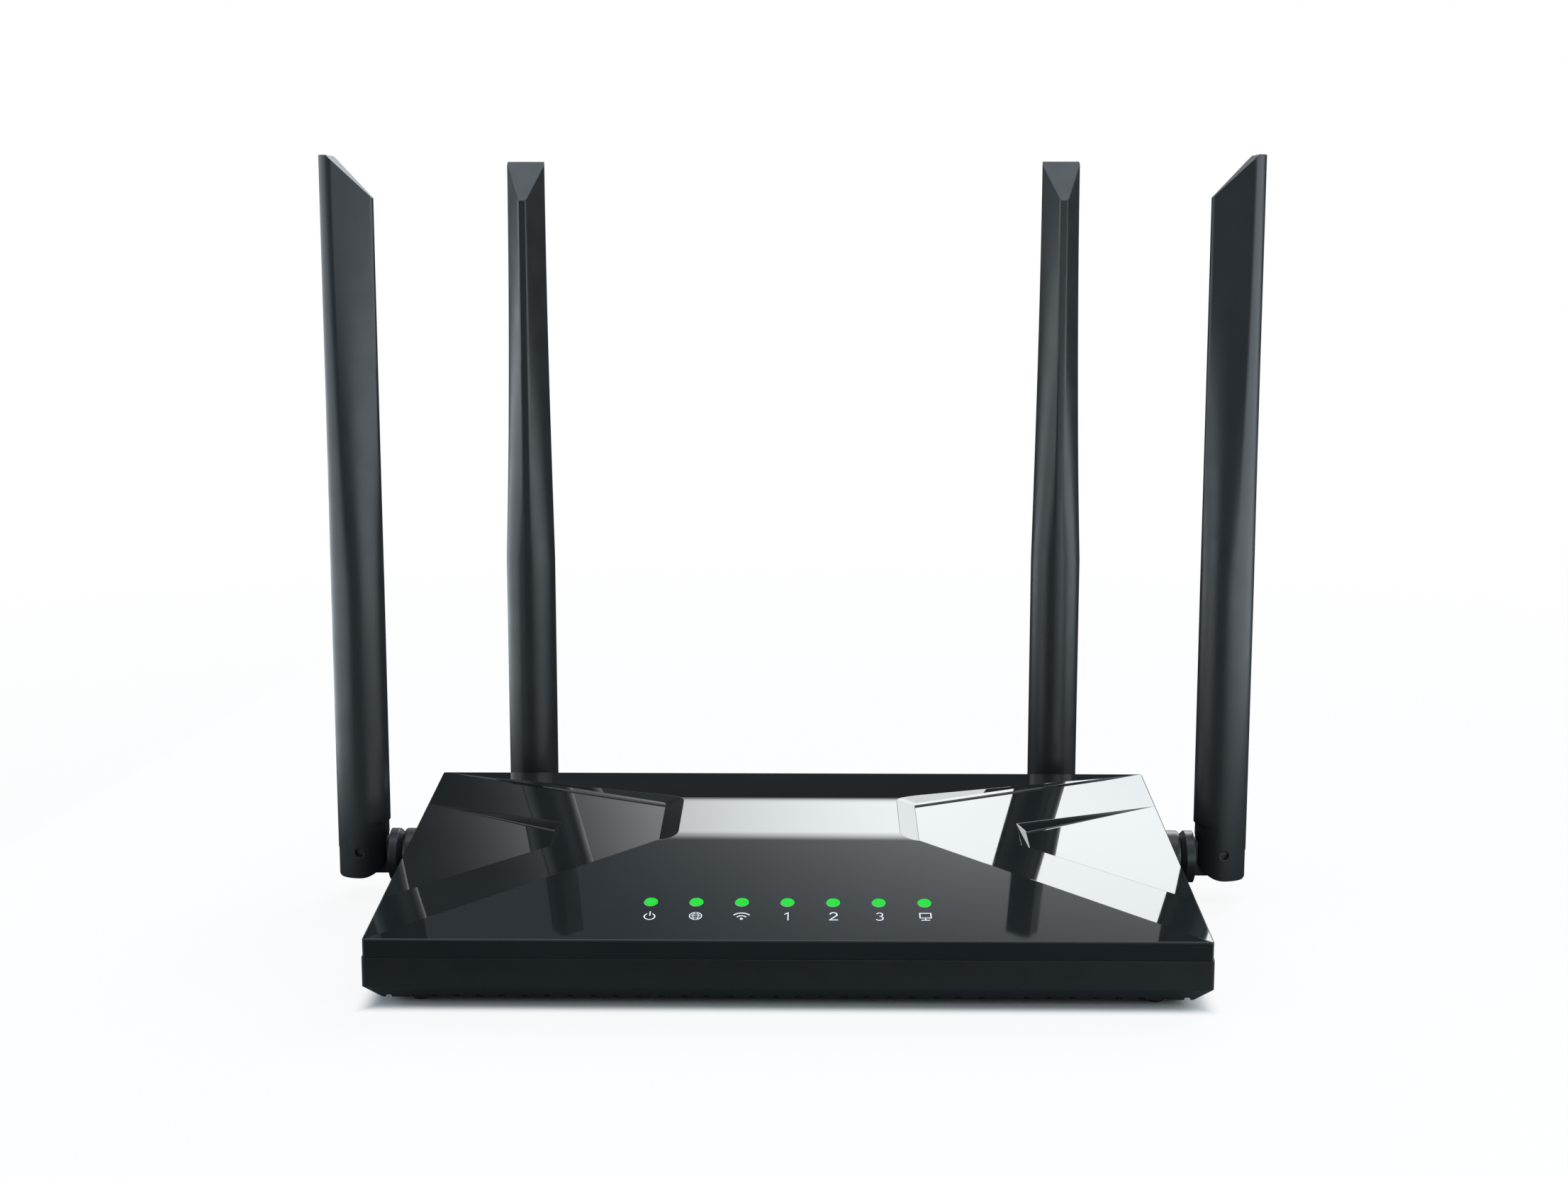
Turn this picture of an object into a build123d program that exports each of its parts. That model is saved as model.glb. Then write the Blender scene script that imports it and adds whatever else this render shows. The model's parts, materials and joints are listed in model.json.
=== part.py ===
"""Wireless router: a low wedge-shaped case with four hinged antennas.

Millimetres, +Z up, the front of the case towards -Y.  The model is drawn with Y = 0 at the
front edge of the cover and Z = 0 at the table, and is centred under its own box on export.
"""
from build123d import *
from math import acos, atan2, cos, degrees, radians, sin, sqrt, tan
import os

# Case: outline and side profile, measured from the front edge of the cover
BODY_WIDTH = 182.5
BODY_DEPTH = 110.5
CORNER_RADIUS = 0.9
LEAST_CORNER = 0.4
FRONT_TOP = 15.6            # height of the front top edge
BACK_TOP = 26.1             # height of the back top edge
BAND_START = (39.86, 28.36)     # depth and height where the front slope meets the ridge band
CREST = (67.2, 30.5)        # depth and height of the crest
BAND_ROUNDING = 20.0
CREST_ROUNDING = 45.0
EDGE_CHAMFER = 0.2
FRONT_SEAM = 11.5           # height of the joint line between cover and case at the front
SEAM_STEP = 0.2             # the case stands this much proud of the cover
FOOT_HEIGHT = 1.8
CHAMFER_HEIGHT = 3.3        # bevel round the bottom of the case
CHAMFER_INSET = 3.4

# Walls and fits
COVER_TOP_WALL = 2.0
COVER_SKIRT = 1.4
CASE_WALL = 2.4
CASE_FLOOR = 1.8
RIM_HEIGHT = 1.5
RIM_GAP = 0.1
SEAT_GAP = 0.05             # loose fit of a fixed piece in its seat
RUNNING_GAP = 0.05          # radial clearance of a turning or sliding piece

# Wings: the sunk facets on both sides of the ridge band
WING_RISE = 7.06            # rise of the outer facet from the side edge to its inner end
WING_INNER_X = 30.0
WING_FRONT_Y = 37.8         # depth of the inner end of the front rim
WING_BACK_Y = 64.6
WING_BEVEL = 4.35
WING_LIP = 0.35
WING_LEDGE = 1.4            # flat ledge between the lip and the back bevel
WING_VALLEY = 18.0          # rounding where the back bevel meets the inner one
WING_CORNER = 4.5           # front inner corner, seen from above
PANEL_RISE = 2.56           # rise of the second, deeper facet
PANEL_INNER_X = 54.2
PANEL_BACK_Y = (61.0, 86.0)     # back corner depth: inner end, outer end
PANEL_FRONT_Y = (46.5, 23.5)    # front corner depth: inner end, outer end
PANEL_BEVEL = 2.2
PANEL_LIP = 0.25
PANEL_VALLEY = 1.2
WALL_LEAN = 0.25            # run over fall of the steep front walls of the facets
STEP_MARGIN = 1.2           # the steps under the cover lie this much further in

# Status lamps
LAMP_COUNT = 7
LAMP_PITCH = 10.0
LAMP_Y = 13.9
LAMP_DIAMETER = 3.0
LAMP_CHIP = (1.6, 0.8, 0.7)
LAMP_GAP = 0.3
GUIDE_WEB = (3.4, 2.0)      # depth and height of the bar that joins the light pipes
GUIDE_WEB_Z = 13.0

# Antennas; u runs away from the wall, v up, w along the hinge pin
REAR_ANTENNA_INSET = 21.75  # side of the case to the rear antennas
SIDE_ANTENNA_INSET = 23.1   # back of the case to the side antennas
SWIVEL_Z = 10.45
PIN_RISE = 1.9              # the hinge pin lies this far above the swivel axis
FORK_GAP = 0.95             # knuckle flange to the flat of the antenna
ANTENNA_RADIUS = 6.4
ANTENNA_RISE = 171.65       # pin to tip
BASE_PROUD = 0.2            # the bottom end reaches this far beyond one radius from the pin
ROUND_RISE = 68.0           # pin to the end of the round lower part
TAPER_STEPS = 5             # from the round part to the tip
CORNER_ARC = (20.0, 70.0)   # part of the round section that turns into the tip's corner, degrees
RIDGE_PROUD = 0.3           # narrow ridge towards the body, outside the round section
RIDGE_HALF = 1.2
RIDGE_EASE = 0.4            # width of the bevel along the ridge
RIDGE_SHOULDER = 0.013      # height of the ridge's sides over the round section
RIDGE_BLEND = 0.6           # how near the ridge's sides come to touching the round section
TIP_RIDGE_U = 6.5
TIP_BACK_U = 6.0
TIP_HALF = 4.75
TIP_CORNER = 3.2
TIP_FLAT = 2.3              # flat end behind the slanted face
TIP_DROP = 10.15            # height of the slanted face
FLAT_DEPTH = 0.35           # flat on the body side, below the step
FLAT_RISE = 7.2
ANTENNA_BORE = 7.4
ANTENNA_BORE_RISE = 118.0
BASE_CORNER = 1.8
TONGUE_WIDTH = 4.8
TONGUE_SIDE_GAP = 0.15
TONGUE_TURN_GAP = 0.55
NECK_RADIUS = 4.8
NECK_LOWER_END = 3.0        # the full neck ends this far short of the pin
HINGE_PIN_DIAMETER = 2.2
HINGE_PIN_RECESS = 1.4
FLANGE_RADIUS = 6.5
FLANGE_RIM = 2.1
FLANGE_CHAMFER = (1.25, 1.1)    # along the axis, across it
COLLAR_LENGTH = 6.15
COLLAR_ROUNDING = 0.7
COLLAR_SPIGOT_RADIUS = 4.5
COLLAR_GAP = 0.1
SHAFT_RADIUS = 3.0
SHAFT_TAIL = 2.6            # shaft beyond the inner face of the wall
CLIP_RADIUS = 4.6
CLIP_THICKNESS = 0.8
CLIP_GROOVE = 0.6
CLIP_MOUTH = 3.6
CABLE_BORE = 1.6
RADIATOR = (7.2, 0.8, 96.0)     # board strip inside the antenna

# Main board
BOARD_WIDTH = 120.0
BOARD_THICKNESS = 1.6
BOARD_FRONT_Y = 8.6
BOARD_BACK_GAP = 4.1        # back of the board to the outside of the back wall
BOARD_STANDOFF = 1.6
BOARD_HOLE_X = 55.0
BOARD_HOLE_Y = (23.6, 66.0)
STANDOFF_RADIUS = 3.0
BOARD_SCREW = (1.25, 2.4, 1.3, 2.6)     # shank radius, head radius, head height, grip in the post

# Case screws, set up from below into posts of the cover
SCREW_SIDE_INSET = 11.25
SCREW_END_INSET = (17.0, 15.5)      # from the front and from the back
SCREW_RADIUS = 1.4
SCREW_HEAD_RADIUS = 2.6
SCREW_HEAD_HEIGHT = 1.8
SCREW_SINK = 0.6
SCREW_GRIP = 6.0
BOSS_RADIUS = 4.0
POST_RADIUS = 3.2
POST_Z = 8.0

# Sockets in the back wall
NETWORK_SOCKET = (15.9, 16.4, 13.4)
NETWORK_X = (20.4, 1.2, -15.5, -32.2)   # outside-line socket first, then the three local ones
PLUG_MOUTH = (11.9, 12.6, 7.0)
PLUG_MOUTH_Z = 4.0
LATCH_STEPS = ((6.4, 1.6), (3.4, 1.0))
CONTACT_COUNT = 8
CONTACT_PITCH = 1.02
CONTACT = (0.46, 0.3, 9.0)
CONTACT_ANGLE = 9.0
SOCKET_PROUD = 0.3
SOCKET_GAP = 0.3
POWER_X = 53.0
POWER_SOCKET = (9.2, 13.2, 10.8)
POWER_BORE = 6.3
POWER_BORE_DEPTH = 9.4
POWER_PIN = (2.0, 8.4)
POWER_AXIS_Z = 6.4

# Push button
BUTTON_X = 38.5
BUTTON_RADIUS = 2.5
BUTTON_FLANGE = (3.6, 0.9)
BUTTON_PROUD = 1.0
BUTTON_TRAVEL = 0.6
BUTTON_AXIS_Z = 4.6
SWITCH = (6.0, 3.6, 6.0)
SWITCH_STEM_RADIUS = 1.7
SWITCH_STEM = 3.0

# Bottom of the case
FOOT_SIDE_INSET = 11.25
FOOT_END_INSET = 8.0
FOOT_RADIUS = 2.4
FOOT_SEAT = 0.8
FOOT_ROUNDING = 1.5
VENT_SIDE_INSET = 4.0
VENT_PITCH = 4.93
VENT_WIDTH = 1.4
VENT_FRONT_Y = 2.4
VENT_LENGTH = 9.0
VENT_FOOT_WALL = 0.6        # notches in line with a foot stop this far in front of its seat
FIELD_VENT_COUNT = 15
FIELD_VENT_LENGTH = 24.0
FIELD_VENT_Y = (36.0, 80.0)
KEYHOLE_X = 70.0
KEYHOLE_Y = 52.0
KEYHOLE_HEAD_RADIUS = 4.0
KEYHOLE_SLOT_RADIUS = 2.1
KEYHOLE_SLOT_RUN = 7.0

# Circuit pieces: size and place on the board
PROCESSOR = ((14.0, 14.0, 1.4), (0.0, 52.0))
HEAT_SINK = (22.0, 22.0, 6.0)
HEAT_SINK_BASE = 1.6
HEAT_SINK_FINS = 6
MEMORY = ((12.0, 8.0, 1.2), (-24.0, 46.0))
FLASH = ((6.0, 5.0, 1.6), (22.0, 44.0))
TRANSFORMER = ((16.0, 9.0, 5.6), ((10.0, -30.7), (-24.0, -30.7)))     # places from the back wall
SHIELD_CAN = ((24.0, 18.0, 3.0), ((-38.0, 64.0), (38.0, 64.0)))
CAPACITOR = (3.2, 8.0, ((26.0, -21.7), (26.0, -29.2)))    # radius, height, places from the back wall

# Antenna leads, from the swivels to small plugs on the board
CABLE_RADIUS = 0.6
CABLE_PLUG = (1.5, 1.4)         # radius and height
CABLE_PLUG_X = (34.0, 50.0)     # rear pair, side pair
CABLE_PLUG_BACK = 32.7          # back wall to the plugs
CABLE_END_GAP = 0.2
CABLE_END_RUN = 5.0             # straight run into the plug
REAR_LEAD_BENDS = ((66.0, -19.7, 10.2), (58.0, -22.7, 9.8), (48.0, -21.2, 9.4))    # from the back wall
SIDE_LEAD_BENDS = ((71.0, -25.7, 10.0), (63.0, -30.7, 9.2))
LEAD_BEND_SHARE = 0.45          # share of a straight run that each bend may use

# Worked-out values
HALF_WIDTH = BODY_WIDTH / 2
SIDE_RISE = (BACK_TOP - FRONT_TOP) / BODY_DEPTH
FRONT_SLOPE = (BAND_START[1] - FRONT_TOP) / BAND_START[0]
WING_SLOPE = WING_RISE / (HALF_WIDTH - WING_INNER_X)
PANEL_SLOPE = PANEL_RISE / (HALF_WIDTH - PANEL_INNER_X)
RIDGE_U = ANTENNA_RADIUS + RIDGE_PROUD
FLAT_U = ANTENNA_RADIUS - FLAT_DEPTH
ANTENNA_BASE = ANTENNA_RADIUS + BASE_PROUD
SLOT_WIDTH = TONGUE_WIDTH + 2 * TONGUE_SIDE_GAP
EYE_RADIUS = NECK_RADIUS - PIN_RISE
FLANGE_S = COLLAR_LENGTH + COLLAR_GAP
NECK_S = FLANGE_S + FLANGE_CHAMFER[0] + FLANGE_RIM
AXIS_GAP = NECK_S + FORK_GAP + FLAT_U       # wall to antenna axis
REAR_ANTENNA_X = HALF_WIDTH - REAR_ANTENNA_INSET
SIDE_ANTENNA_Y = BODY_DEPTH - SIDE_ANTENNA_INSET
SIDE_ANTENNA_X = HALF_WIDTH + AXIS_GAP
REAR_ANTENNA_Y = BODY_DEPTH + AXIS_GAP
PIN_Z = SWIVEL_Z + PIN_RISE
FLOOR_Z = FOOT_HEIGHT + CASE_FLOOR
BOARD_Z = FLOOR_Z + BOARD_STANDOFF
BOARD_TOP = BOARD_Z + BOARD_THICKNESS
CASE_BACK_Y = BODY_DEPTH + SEAM_STEP
BOARD = (BOARD_WIDTH, CASE_BACK_Y - BOARD_BACK_GAP - BOARD_FRONT_Y, BOARD_THICKNESS)
CASE_INNER_BACK_Y = CASE_BACK_Y - CASE_WALL
SCREW_POINTS = [(side * (HALF_WIDTH - SCREW_SIDE_INSET), y) for side in (-1, 1)
                for y in (SCREW_END_INSET[0], BODY_DEPTH - SCREW_END_INSET[1])]
FOOT_POINTS = [(side * (HALF_WIDTH - FOOT_SIDE_INSET), y) for side in (-1, 1)
               for y in (FOOT_END_INSET, BODY_DEPTH - FOOT_END_INSET)]
BOARD_HOLES = [(side * BOARD_HOLE_X, y) for side in (-1, 1) for y in BOARD_HOLE_Y]
VENT_COUNT = int((BODY_WIDTH - 2 * VENT_SIDE_INSET) / VENT_PITCH) + 1
LAMP_XS = [(i - (LAMP_COUNT - 1) / 2) * LAMP_PITCH for i in range(LAMP_COUNT)]
BIG = 3 * (BODY_WIDTH + BODY_DEPTH)
CENTRE_SHIFT = Pos(0, -(REAR_ANTENNA_Y + ANTENNA_RADIUS - SEAM_STEP) / 2, 0)
TOUCH = 0.001               # points nearer than this count as one
MIDDLE = Align.CENTER
LOW = Align.MIN
HIGH = Align.MAX


def above(a, b, c):
    """Half space over the plane through three points."""
    start = Vector(*a)
    normal = (Vector(*b) - start).cross(Vector(*c) - start).normalized()
    if normal.Z < 0:
        normal = -normal
    return Plane(origin=start, z_dir=normal) * Box(BIG, BIG, BIG, align=(MIDDLE, MIDDLE, LOW))


def beyond(a, b, towards):
    """Half space on one side of the upright plane over a plan line."""
    normal = Vector(a[1] - b[1], b[0] - a[0], 0).normalized()
    if normal.dot(Vector(towards[0] - a[0], towards[1] - a[1], 0)) < 0:
        normal = -normal
    return Plane(origin=(a[0], a[1], 0), z_dir=normal) * Box(BIG, BIG, BIG, align=(MIDDLE, MIDDLE, LOW))


def upright(radius, height, x=0, y=0, z=0):
    """Upright cylinder standing at a point."""
    return Pos(x, y, z) * Cylinder(radius, height, align=(MIDDLE, MIDDLE, LOW))


def rod_along_y(radius, start, end, x=0, z=0):
    """Cylinder lying along Y between two depths."""
    return Pos(x, start, z) * Rot(-90, 0, 0) * Cylinder(radius, end - start, align=(MIDDLE, MIDDLE, LOW))


def rod_along_x(radius, length, y=0, z=0):
    """Cylinder lying along X, centred on X = 0."""
    return Pos(0, y, z) * Rot(0, 90, 0) * Cylinder(radius, length)


def outline(inset, height, z=0, radius=CORNER_RADIUS):
    """Upright prism over the case outline, drawn in by an inset."""
    corner = max(radius - inset, LEAST_CORNER)
    face = RectangleRounded(BODY_WIDTH - 2 * inset, BODY_DEPTH - 2 * inset, corner)
    return Pos(0, BODY_DEPTH / 2, z) * extrude(face, height)


def over_seam(rise=0.0):
    """Half space over the sloping joint between cover and case."""
    front = FRONT_SEAM + rise
    back = front + SIDE_RISE * BODY_DEPTH
    return above((0, 0, front), (10, 0, front), (0, BODY_DEPTH, back))


# Cover

def wing_height(x, y, slope):
    """Height of a facet that hinges on the side edge and rises inwards."""
    return FRONT_TOP + SIDE_RISE * y + (HALF_WIDTH - x) * slope


def steep_wall(outer, inner, drop, margin):
    """Three points of the steep wall under a facet's front rim."""
    run = Vector(inner[0] - outer[0], inner[1] - outer[1], 0).normalized()
    into = Vector(-run.Y, run.X, 0)
    if into.Y < 0:
        into = -into
    top_a = Vector(*outer) - into * margin - Vector(0, 0, drop)
    top_b = Vector(*inner) - into * margin - Vector(0, 0, drop)
    foot = top_b + into * WALL_LEAN - Vector(0, 0, 1)
    return top_a, top_b, foot


def lies_on(points, vertex):
    """Whether a vertex lies on the plane through three points."""
    start = Vector(*points[0])
    normal = (Vector(*points[1]) - start).cross(Vector(*points[2]) - start).normalized()
    return abs((Vector(*vertex) - start).dot(normal)) < TOUCH


def round_between(solid, first, second, radius):
    """Round the edge in which two planes of a solid meet."""
    shared = [edge for edge in solid.edges()
              if all(lies_on(first, v) and lies_on(second, v) for v in edge.vertices())]
    return fillet(shared, radius)


def pocket(floor, shelf, back, inner, reach, lip_walls, valley):
    """Sunk facet: bevels behind and inside that end on a shelf, and a lip down to the floor."""
    bevelled = above(*shelf) & above(*back) & above(*inner)
    if valley:
        bevelled = round_between(bevelled, back, inner, valley)
    return (bevelled & reach) + (above(*floor) & reach & lip_walls)


def wing_cut(drop=0.0, margin=0.0):
    """Both sunk facets of the right wing, for the skin (no drop) or its underside."""
    def facet(x, y, slope, lift=0.0):
        return (x, y, wing_height(x, y, slope) + lift - drop)

    def facet_plane(x, slope, lift=0.0):
        outer = (facet(HALF_WIDTH, 0, slope, lift), facet(HALF_WIDTH, BODY_DEPTH, slope, lift))
        return (*outer, facet(x, 0, slope, lift))

    centre = (HALF_WIDTH, BODY_DEPTH / 2)
    corner_front = (HALF_WIDTH, 0, FRONT_TOP)
    corner_back = facet(HALF_WIDTH, BODY_DEPTH, WING_SLOPE)
    rim_inner = (WING_INNER_X, WING_FRONT_Y, FRONT_TOP + FRONT_SLOPE * WING_FRONT_Y)
    shelf = facet_plane(WING_INNER_X, WING_SLOPE, WING_LIP)
    back_inner = facet(WING_INNER_X, WING_BACK_Y + WING_LEDGE, WING_SLOPE, WING_LIP)
    crest_corner = (WING_INNER_X - WING_BEVEL, CREST[0], CREST[1] - drop)
    outward = beyond((WING_INNER_X, 0), (WING_INNER_X, 1), centre)
    corner = Pos(crest_corner[0] - margin, WING_FRONT_Y - margin) * Rectangle(
        WING_BEVEL + WING_CORNER, BODY_DEPTH, align=(LOW, LOW))
    corner = fillet(corner.vertices().sort_by_distance((0, 0, 0))[0], WING_CORNER)
    front = steep_wall(corner_front, rim_inner, drop, margin)
    wing = pocket(
        facet_plane(WING_INNER_X, WING_SLOPE),
        shelf,
        (corner_back, back_inner, crest_corner),
        (shelf[2], back_inner, crest_corner),
        (above(*front) & outward) + extrude(corner, 2 * CREST[1]),
        beyond((WING_INNER_X, WING_BACK_Y), (HALF_WIDTH, BODY_DEPTH), centre) & outward,
        0 if drop else WING_VALLEY,
    )
    floor_x = PANEL_INNER_X + PANEL_BEVEL
    floor_y = PANEL_BACK_Y[0] - PANEL_BEVEL / 2
    rim_back = facet(PANEL_INNER_X, PANEL_BACK_Y[0], WING_SLOPE)
    rim_front = facet(PANEL_INNER_X, PANEL_FRONT_Y[0], WING_SLOPE)
    floor_corner = facet(floor_x, floor_y, PANEL_SLOPE, PANEL_LIP)
    outer_back = facet(HALF_WIDTH, PANEL_BACK_Y[1], WING_SLOPE)
    outer_front = (HALF_WIDTH, PANEL_FRONT_Y[1], wing_height(HALF_WIDTH, PANEL_FRONT_Y[1], WING_SLOPE))
    inner_front = (PANEL_INNER_X, PANEL_FRONT_Y[0],
                   wing_height(PANEL_INNER_X, PANEL_FRONT_Y[0], WING_SLOPE))
    panel_floor = facet_plane(PANEL_INNER_X, PANEL_SLOPE)
    panel = pocket(
        panel_floor,
        panel_floor,
        (outer_back, rim_back, floor_corner),
        (rim_back, rim_front, floor_corner),
        above(*steep_wall(outer_front, inner_front, drop, margin)),
        beyond((floor_x, floor_y), (HALF_WIDTH, PANEL_BACK_Y[1]), centre)
        & beyond((floor_x, 0), (floor_x, 1), centre),
        0 if drop else PANEL_VALLEY,
    )
    return wing + panel


def ridge_form(drop, inset, margin):
    """Body under the faceted top: the outer form, or the hollow below it."""
    fall = (CREST[1] - BACK_TOP) / (BODY_DEPTH - CREST[0])
    spare = 10.0
    with BuildSketch(Plane.YZ) as profile:
        with BuildLine():
            Polyline(
                (-spare, 0),
                (-spare, FRONT_TOP - spare * FRONT_SLOPE - drop),
                (BAND_START[0], BAND_START[1] - drop),
                (CREST[0], CREST[1] - drop),
                (BODY_DEPTH + spare, BACK_TOP - spare * fall - drop),
                (BODY_DEPTH + spare, 0),
                close=True,
            )
        make_face()
        for bend, rounding in ((BAND_START, BAND_ROUNDING), (CREST, CREST_ROUNDING)):
            fillet(profile.vertices().sort_by_distance((bend[0], bend[1] - drop, 0))[0], rounding)
    body = extrude(profile.sketch, BODY_WIDTH, both=True) & outline(inset, 2 * CREST[1])
    wing = wing_cut(drop, margin)
    return body - wing - mirror(wing, Plane.YZ)


def edge_bevels():
    """Half spaces that take the sharpness off the front, back and side top edges."""
    c = EDGE_CHAMFER
    front = above((0, 0, FRONT_TOP - c), (1, 0, FRONT_TOP - c), (0, c, FRONT_TOP))
    back_z = BACK_TOP - c
    back = above((0, BODY_DEPTH, back_z), (1, BODY_DEPTH, back_z), (0, BODY_DEPTH - c, BACK_TOP))
    side = above((HALF_WIDTH, 0, FRONT_TOP - c), (HALF_WIDTH, BODY_DEPTH, back_z),
                 (HALF_WIDTH - c, 0, FRONT_TOP))
    return [front, back, side, mirror(side, Plane.YZ)]


def make_top_cover():
    skin = ridge_form(0, 0, 0)
    for bevel in edge_bevels():
        skin = skin - bevel
    cover = (skin - ridge_form(COVER_TOP_WALL, COVER_SKIRT, STEP_MARGIN)) & over_seam()
    for x, y in SCREW_POINTS:
        post = upright(POST_RADIUS, CREST[1], x, y, POST_Z) & ridge_form(COVER_TOP_WALL / 2, 0, 0)
        cover = cover + post
    for x, y in SCREW_POINTS:
        cover = cover - upright(SCREW_RADIUS, SCREW_GRIP + 1, x, y, POST_Z)
    for x in LAMP_XS:
        cover = cover - upright(LAMP_DIAMETER / 2 + SEAT_GAP, CREST[1], x, LAMP_Y, FRONT_SEAM)
    return cover


# Case

def case_shell(inset, floor_z, top):
    """Upright walls over a bevelled bottom, drawn in by an inset."""
    bevel_top = FOOT_HEIGHT + CHAMFER_HEIGHT
    edge = -SEAM_STEP + inset
    narrow = edge + CHAMFER_INSET * (bevel_top - floor_z) / CHAMFER_HEIGHT
    wide_face = RectangleRounded(BODY_WIDTH - 2 * edge, BODY_DEPTH - 2 * edge, CORNER_RADIUS)
    narrow_face = RectangleRounded(BODY_WIDTH - 2 * narrow, BODY_DEPTH - 2 * narrow, CORNER_RADIUS)
    centre = Pos(0, BODY_DEPTH / 2, 0)
    base = loft([centre * Pos(0, 0, floor_z) * narrow_face, centre * Pos(0, 0, bevel_top) * wide_face])
    return base + centre * Pos(0, 0, bevel_top) * extrude(wide_face, top - bevel_top)


def vent_cuts():
    """Slots through the floor: a row of notches at the front edge and two fields behind it."""
    height = FLOOR_Z + 1
    field = Box(VENT_WIDTH, FIELD_VENT_LENGTH, height, align=(MIDDLE, MIDDLE, LOW))
    seat = FOOT_RADIUS + VENT_FOOT_WALL
    short = FOOT_END_INSET - seat - VENT_FRONT_Y
    cuts = []
    for i in range(VENT_COUNT):
        x = (i - (VENT_COUNT - 1) / 2) * VENT_PITCH
        by_foot = abs(HALF_WIDTH - abs(x) - FOOT_SIDE_INSET) < seat + VENT_WIDTH / 2
        slot = Box(VENT_WIDTH, short if by_foot else VENT_LENGTH, height, align=(MIDDLE, LOW, LOW))
        cuts.append(Pos(x, VENT_FRONT_Y, 0) * slot)
    for y in FIELD_VENT_Y:
        for i in range(FIELD_VENT_COUNT):
            cuts.append(Pos((i - (FIELD_VENT_COUNT - 1) / 2) * VENT_PITCH, y, 0) * field)
    return cuts


def keyhole_cuts():
    cuts = []
    for side in (-1, 1):
        x = side * KEYHOLE_X
        slot = Box(2 * KEYHOLE_SLOT_RADIUS, KEYHOLE_SLOT_RUN, FLOOR_Z + 1, align=(MIDDLE, LOW, LOW))
        cuts.append(upright(KEYHOLE_HEAD_RADIUS, FLOOR_Z + 1, x, KEYHOLE_Y))
        cuts.append(upright(KEYHOLE_SLOT_RADIUS, FLOOR_Z + 1, x, KEYHOLE_Y + KEYHOLE_SLOT_RUN))
        cuts.append(Pos(x, KEYHOLE_Y, 0) * slot)
    return cuts


def socket_cuts():
    """Holes in the back wall for the sockets and the push button."""
    depth = 3 * CASE_WALL
    cuts = []
    for x in NETWORK_X:
        hole = Box(NETWORK_SOCKET[0] + 2 * SOCKET_GAP, depth, NETWORK_SOCKET[2] + SOCKET_GAP,
                   align=(MIDDLE, MIDDLE, LOW))
        cuts.append(Pos(x, CASE_BACK_Y, BOARD_TOP) * hole)
    power = Box(POWER_SOCKET[0] + 2 * SOCKET_GAP, depth, POWER_SOCKET[2] + SOCKET_GAP,
                align=(MIDDLE, MIDDLE, LOW))
    cuts.append(Pos(POWER_X, CASE_BACK_Y, BOARD_TOP) * power)
    cuts.append(rod_along_y(BUTTON_RADIUS + RUNNING_GAP, CASE_BACK_Y - depth / 2, CASE_BACK_Y + depth / 2,
                            BUTTON_X, BOARD_TOP + BUTTON_AXIS_Z))
    return cuts


def make_bottom_case():
    case = case_shell(0, FOOT_HEIGHT, BACK_TOP) - case_shell(CASE_WALL, FLOOR_Z, CREST[1])
    case = case - over_seam()
    rim_outer = outline(COVER_SKIRT + RIM_GAP, 2 * CREST[1])
    rim_inner = outline(CASE_WALL - SEAM_STEP, 2 * CREST[1], 0, CORNER_RADIUS + CASE_WALL)
    rim = (rim_outer - rim_inner) & over_seam(-RIM_HEIGHT)
    case = case + (rim - over_seam(RIM_HEIGHT))
    for x, y in SCREW_POINTS:
        case = case + upright(BOSS_RADIUS, POST_Z - FOOT_HEIGHT, x, y, FOOT_HEIGHT)
    for x, y in BOARD_HOLES:
        root = FLOOR_Z - CASE_FLOOR / 2
        case = case + upright(STANDOFF_RADIUS, BOARD_Z - root, x, y, root)
    head_top = FOOT_HEIGHT + SCREW_SINK + SCREW_HEAD_HEIGHT
    for x, y in SCREW_POINTS:
        case = case - upright(SCREW_RADIUS + SEAT_GAP, POST_Z, x, y)
        case = case - upright(SCREW_HEAD_RADIUS + SEAT_GAP, head_top, x, y)
    for x, y in BOARD_HOLES:
        case = case - upright(BOARD_SCREW[0], CREST[1], x, y, BOARD_Z - BOARD_SCREW[3])
    for x, y in FOOT_POINTS:
        case = case - upright(FOOT_RADIUS + SEAT_GAP, FOOT_HEIGHT + FOOT_SEAT, x, y)
    for place in antenna_places():
        case = case - place * rod_along_y(COLLAR_SPIGOT_RADIUS + SEAT_GAP, -AXIS_GAP - 2 * CASE_WALL,
                                          -AXIS_GAP + CASE_WALL, 0, -PIN_RISE)
    return case - vent_cuts() - keyhole_cuts() - socket_cuts()


def make_feet():
    foot = Cylinder(FOOT_RADIUS, FOOT_HEIGHT + FOOT_SEAT, align=(MIDDLE, MIDDLE, LOW))
    foot = fillet(foot.edges().group_by(Axis.Z)[0], FOOT_ROUNDING)
    return Compound(children=[Pos(x, y, 0) * foot for x, y in FOOT_POINTS])


def make_case_screws():
    head = Cylinder(SCREW_HEAD_RADIUS, SCREW_HEAD_HEIGHT, align=(MIDDLE, MIDDLE, LOW))
    drive = extrude(RegularPolygon(SCREW_HEAD_RADIUS / 2, 6), SCREW_HEAD_HEIGHT / 2)
    head_z = FOOT_HEIGHT + SCREW_SINK
    shank = upright(SCREW_RADIUS - SEAT_GAP, POST_Z + SCREW_GRIP - head_z)
    screw = head - drive + shank
    return Compound(children=[Pos(x, y, head_z) * screw for x, y in SCREW_POINTS])


# Antennas

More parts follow.
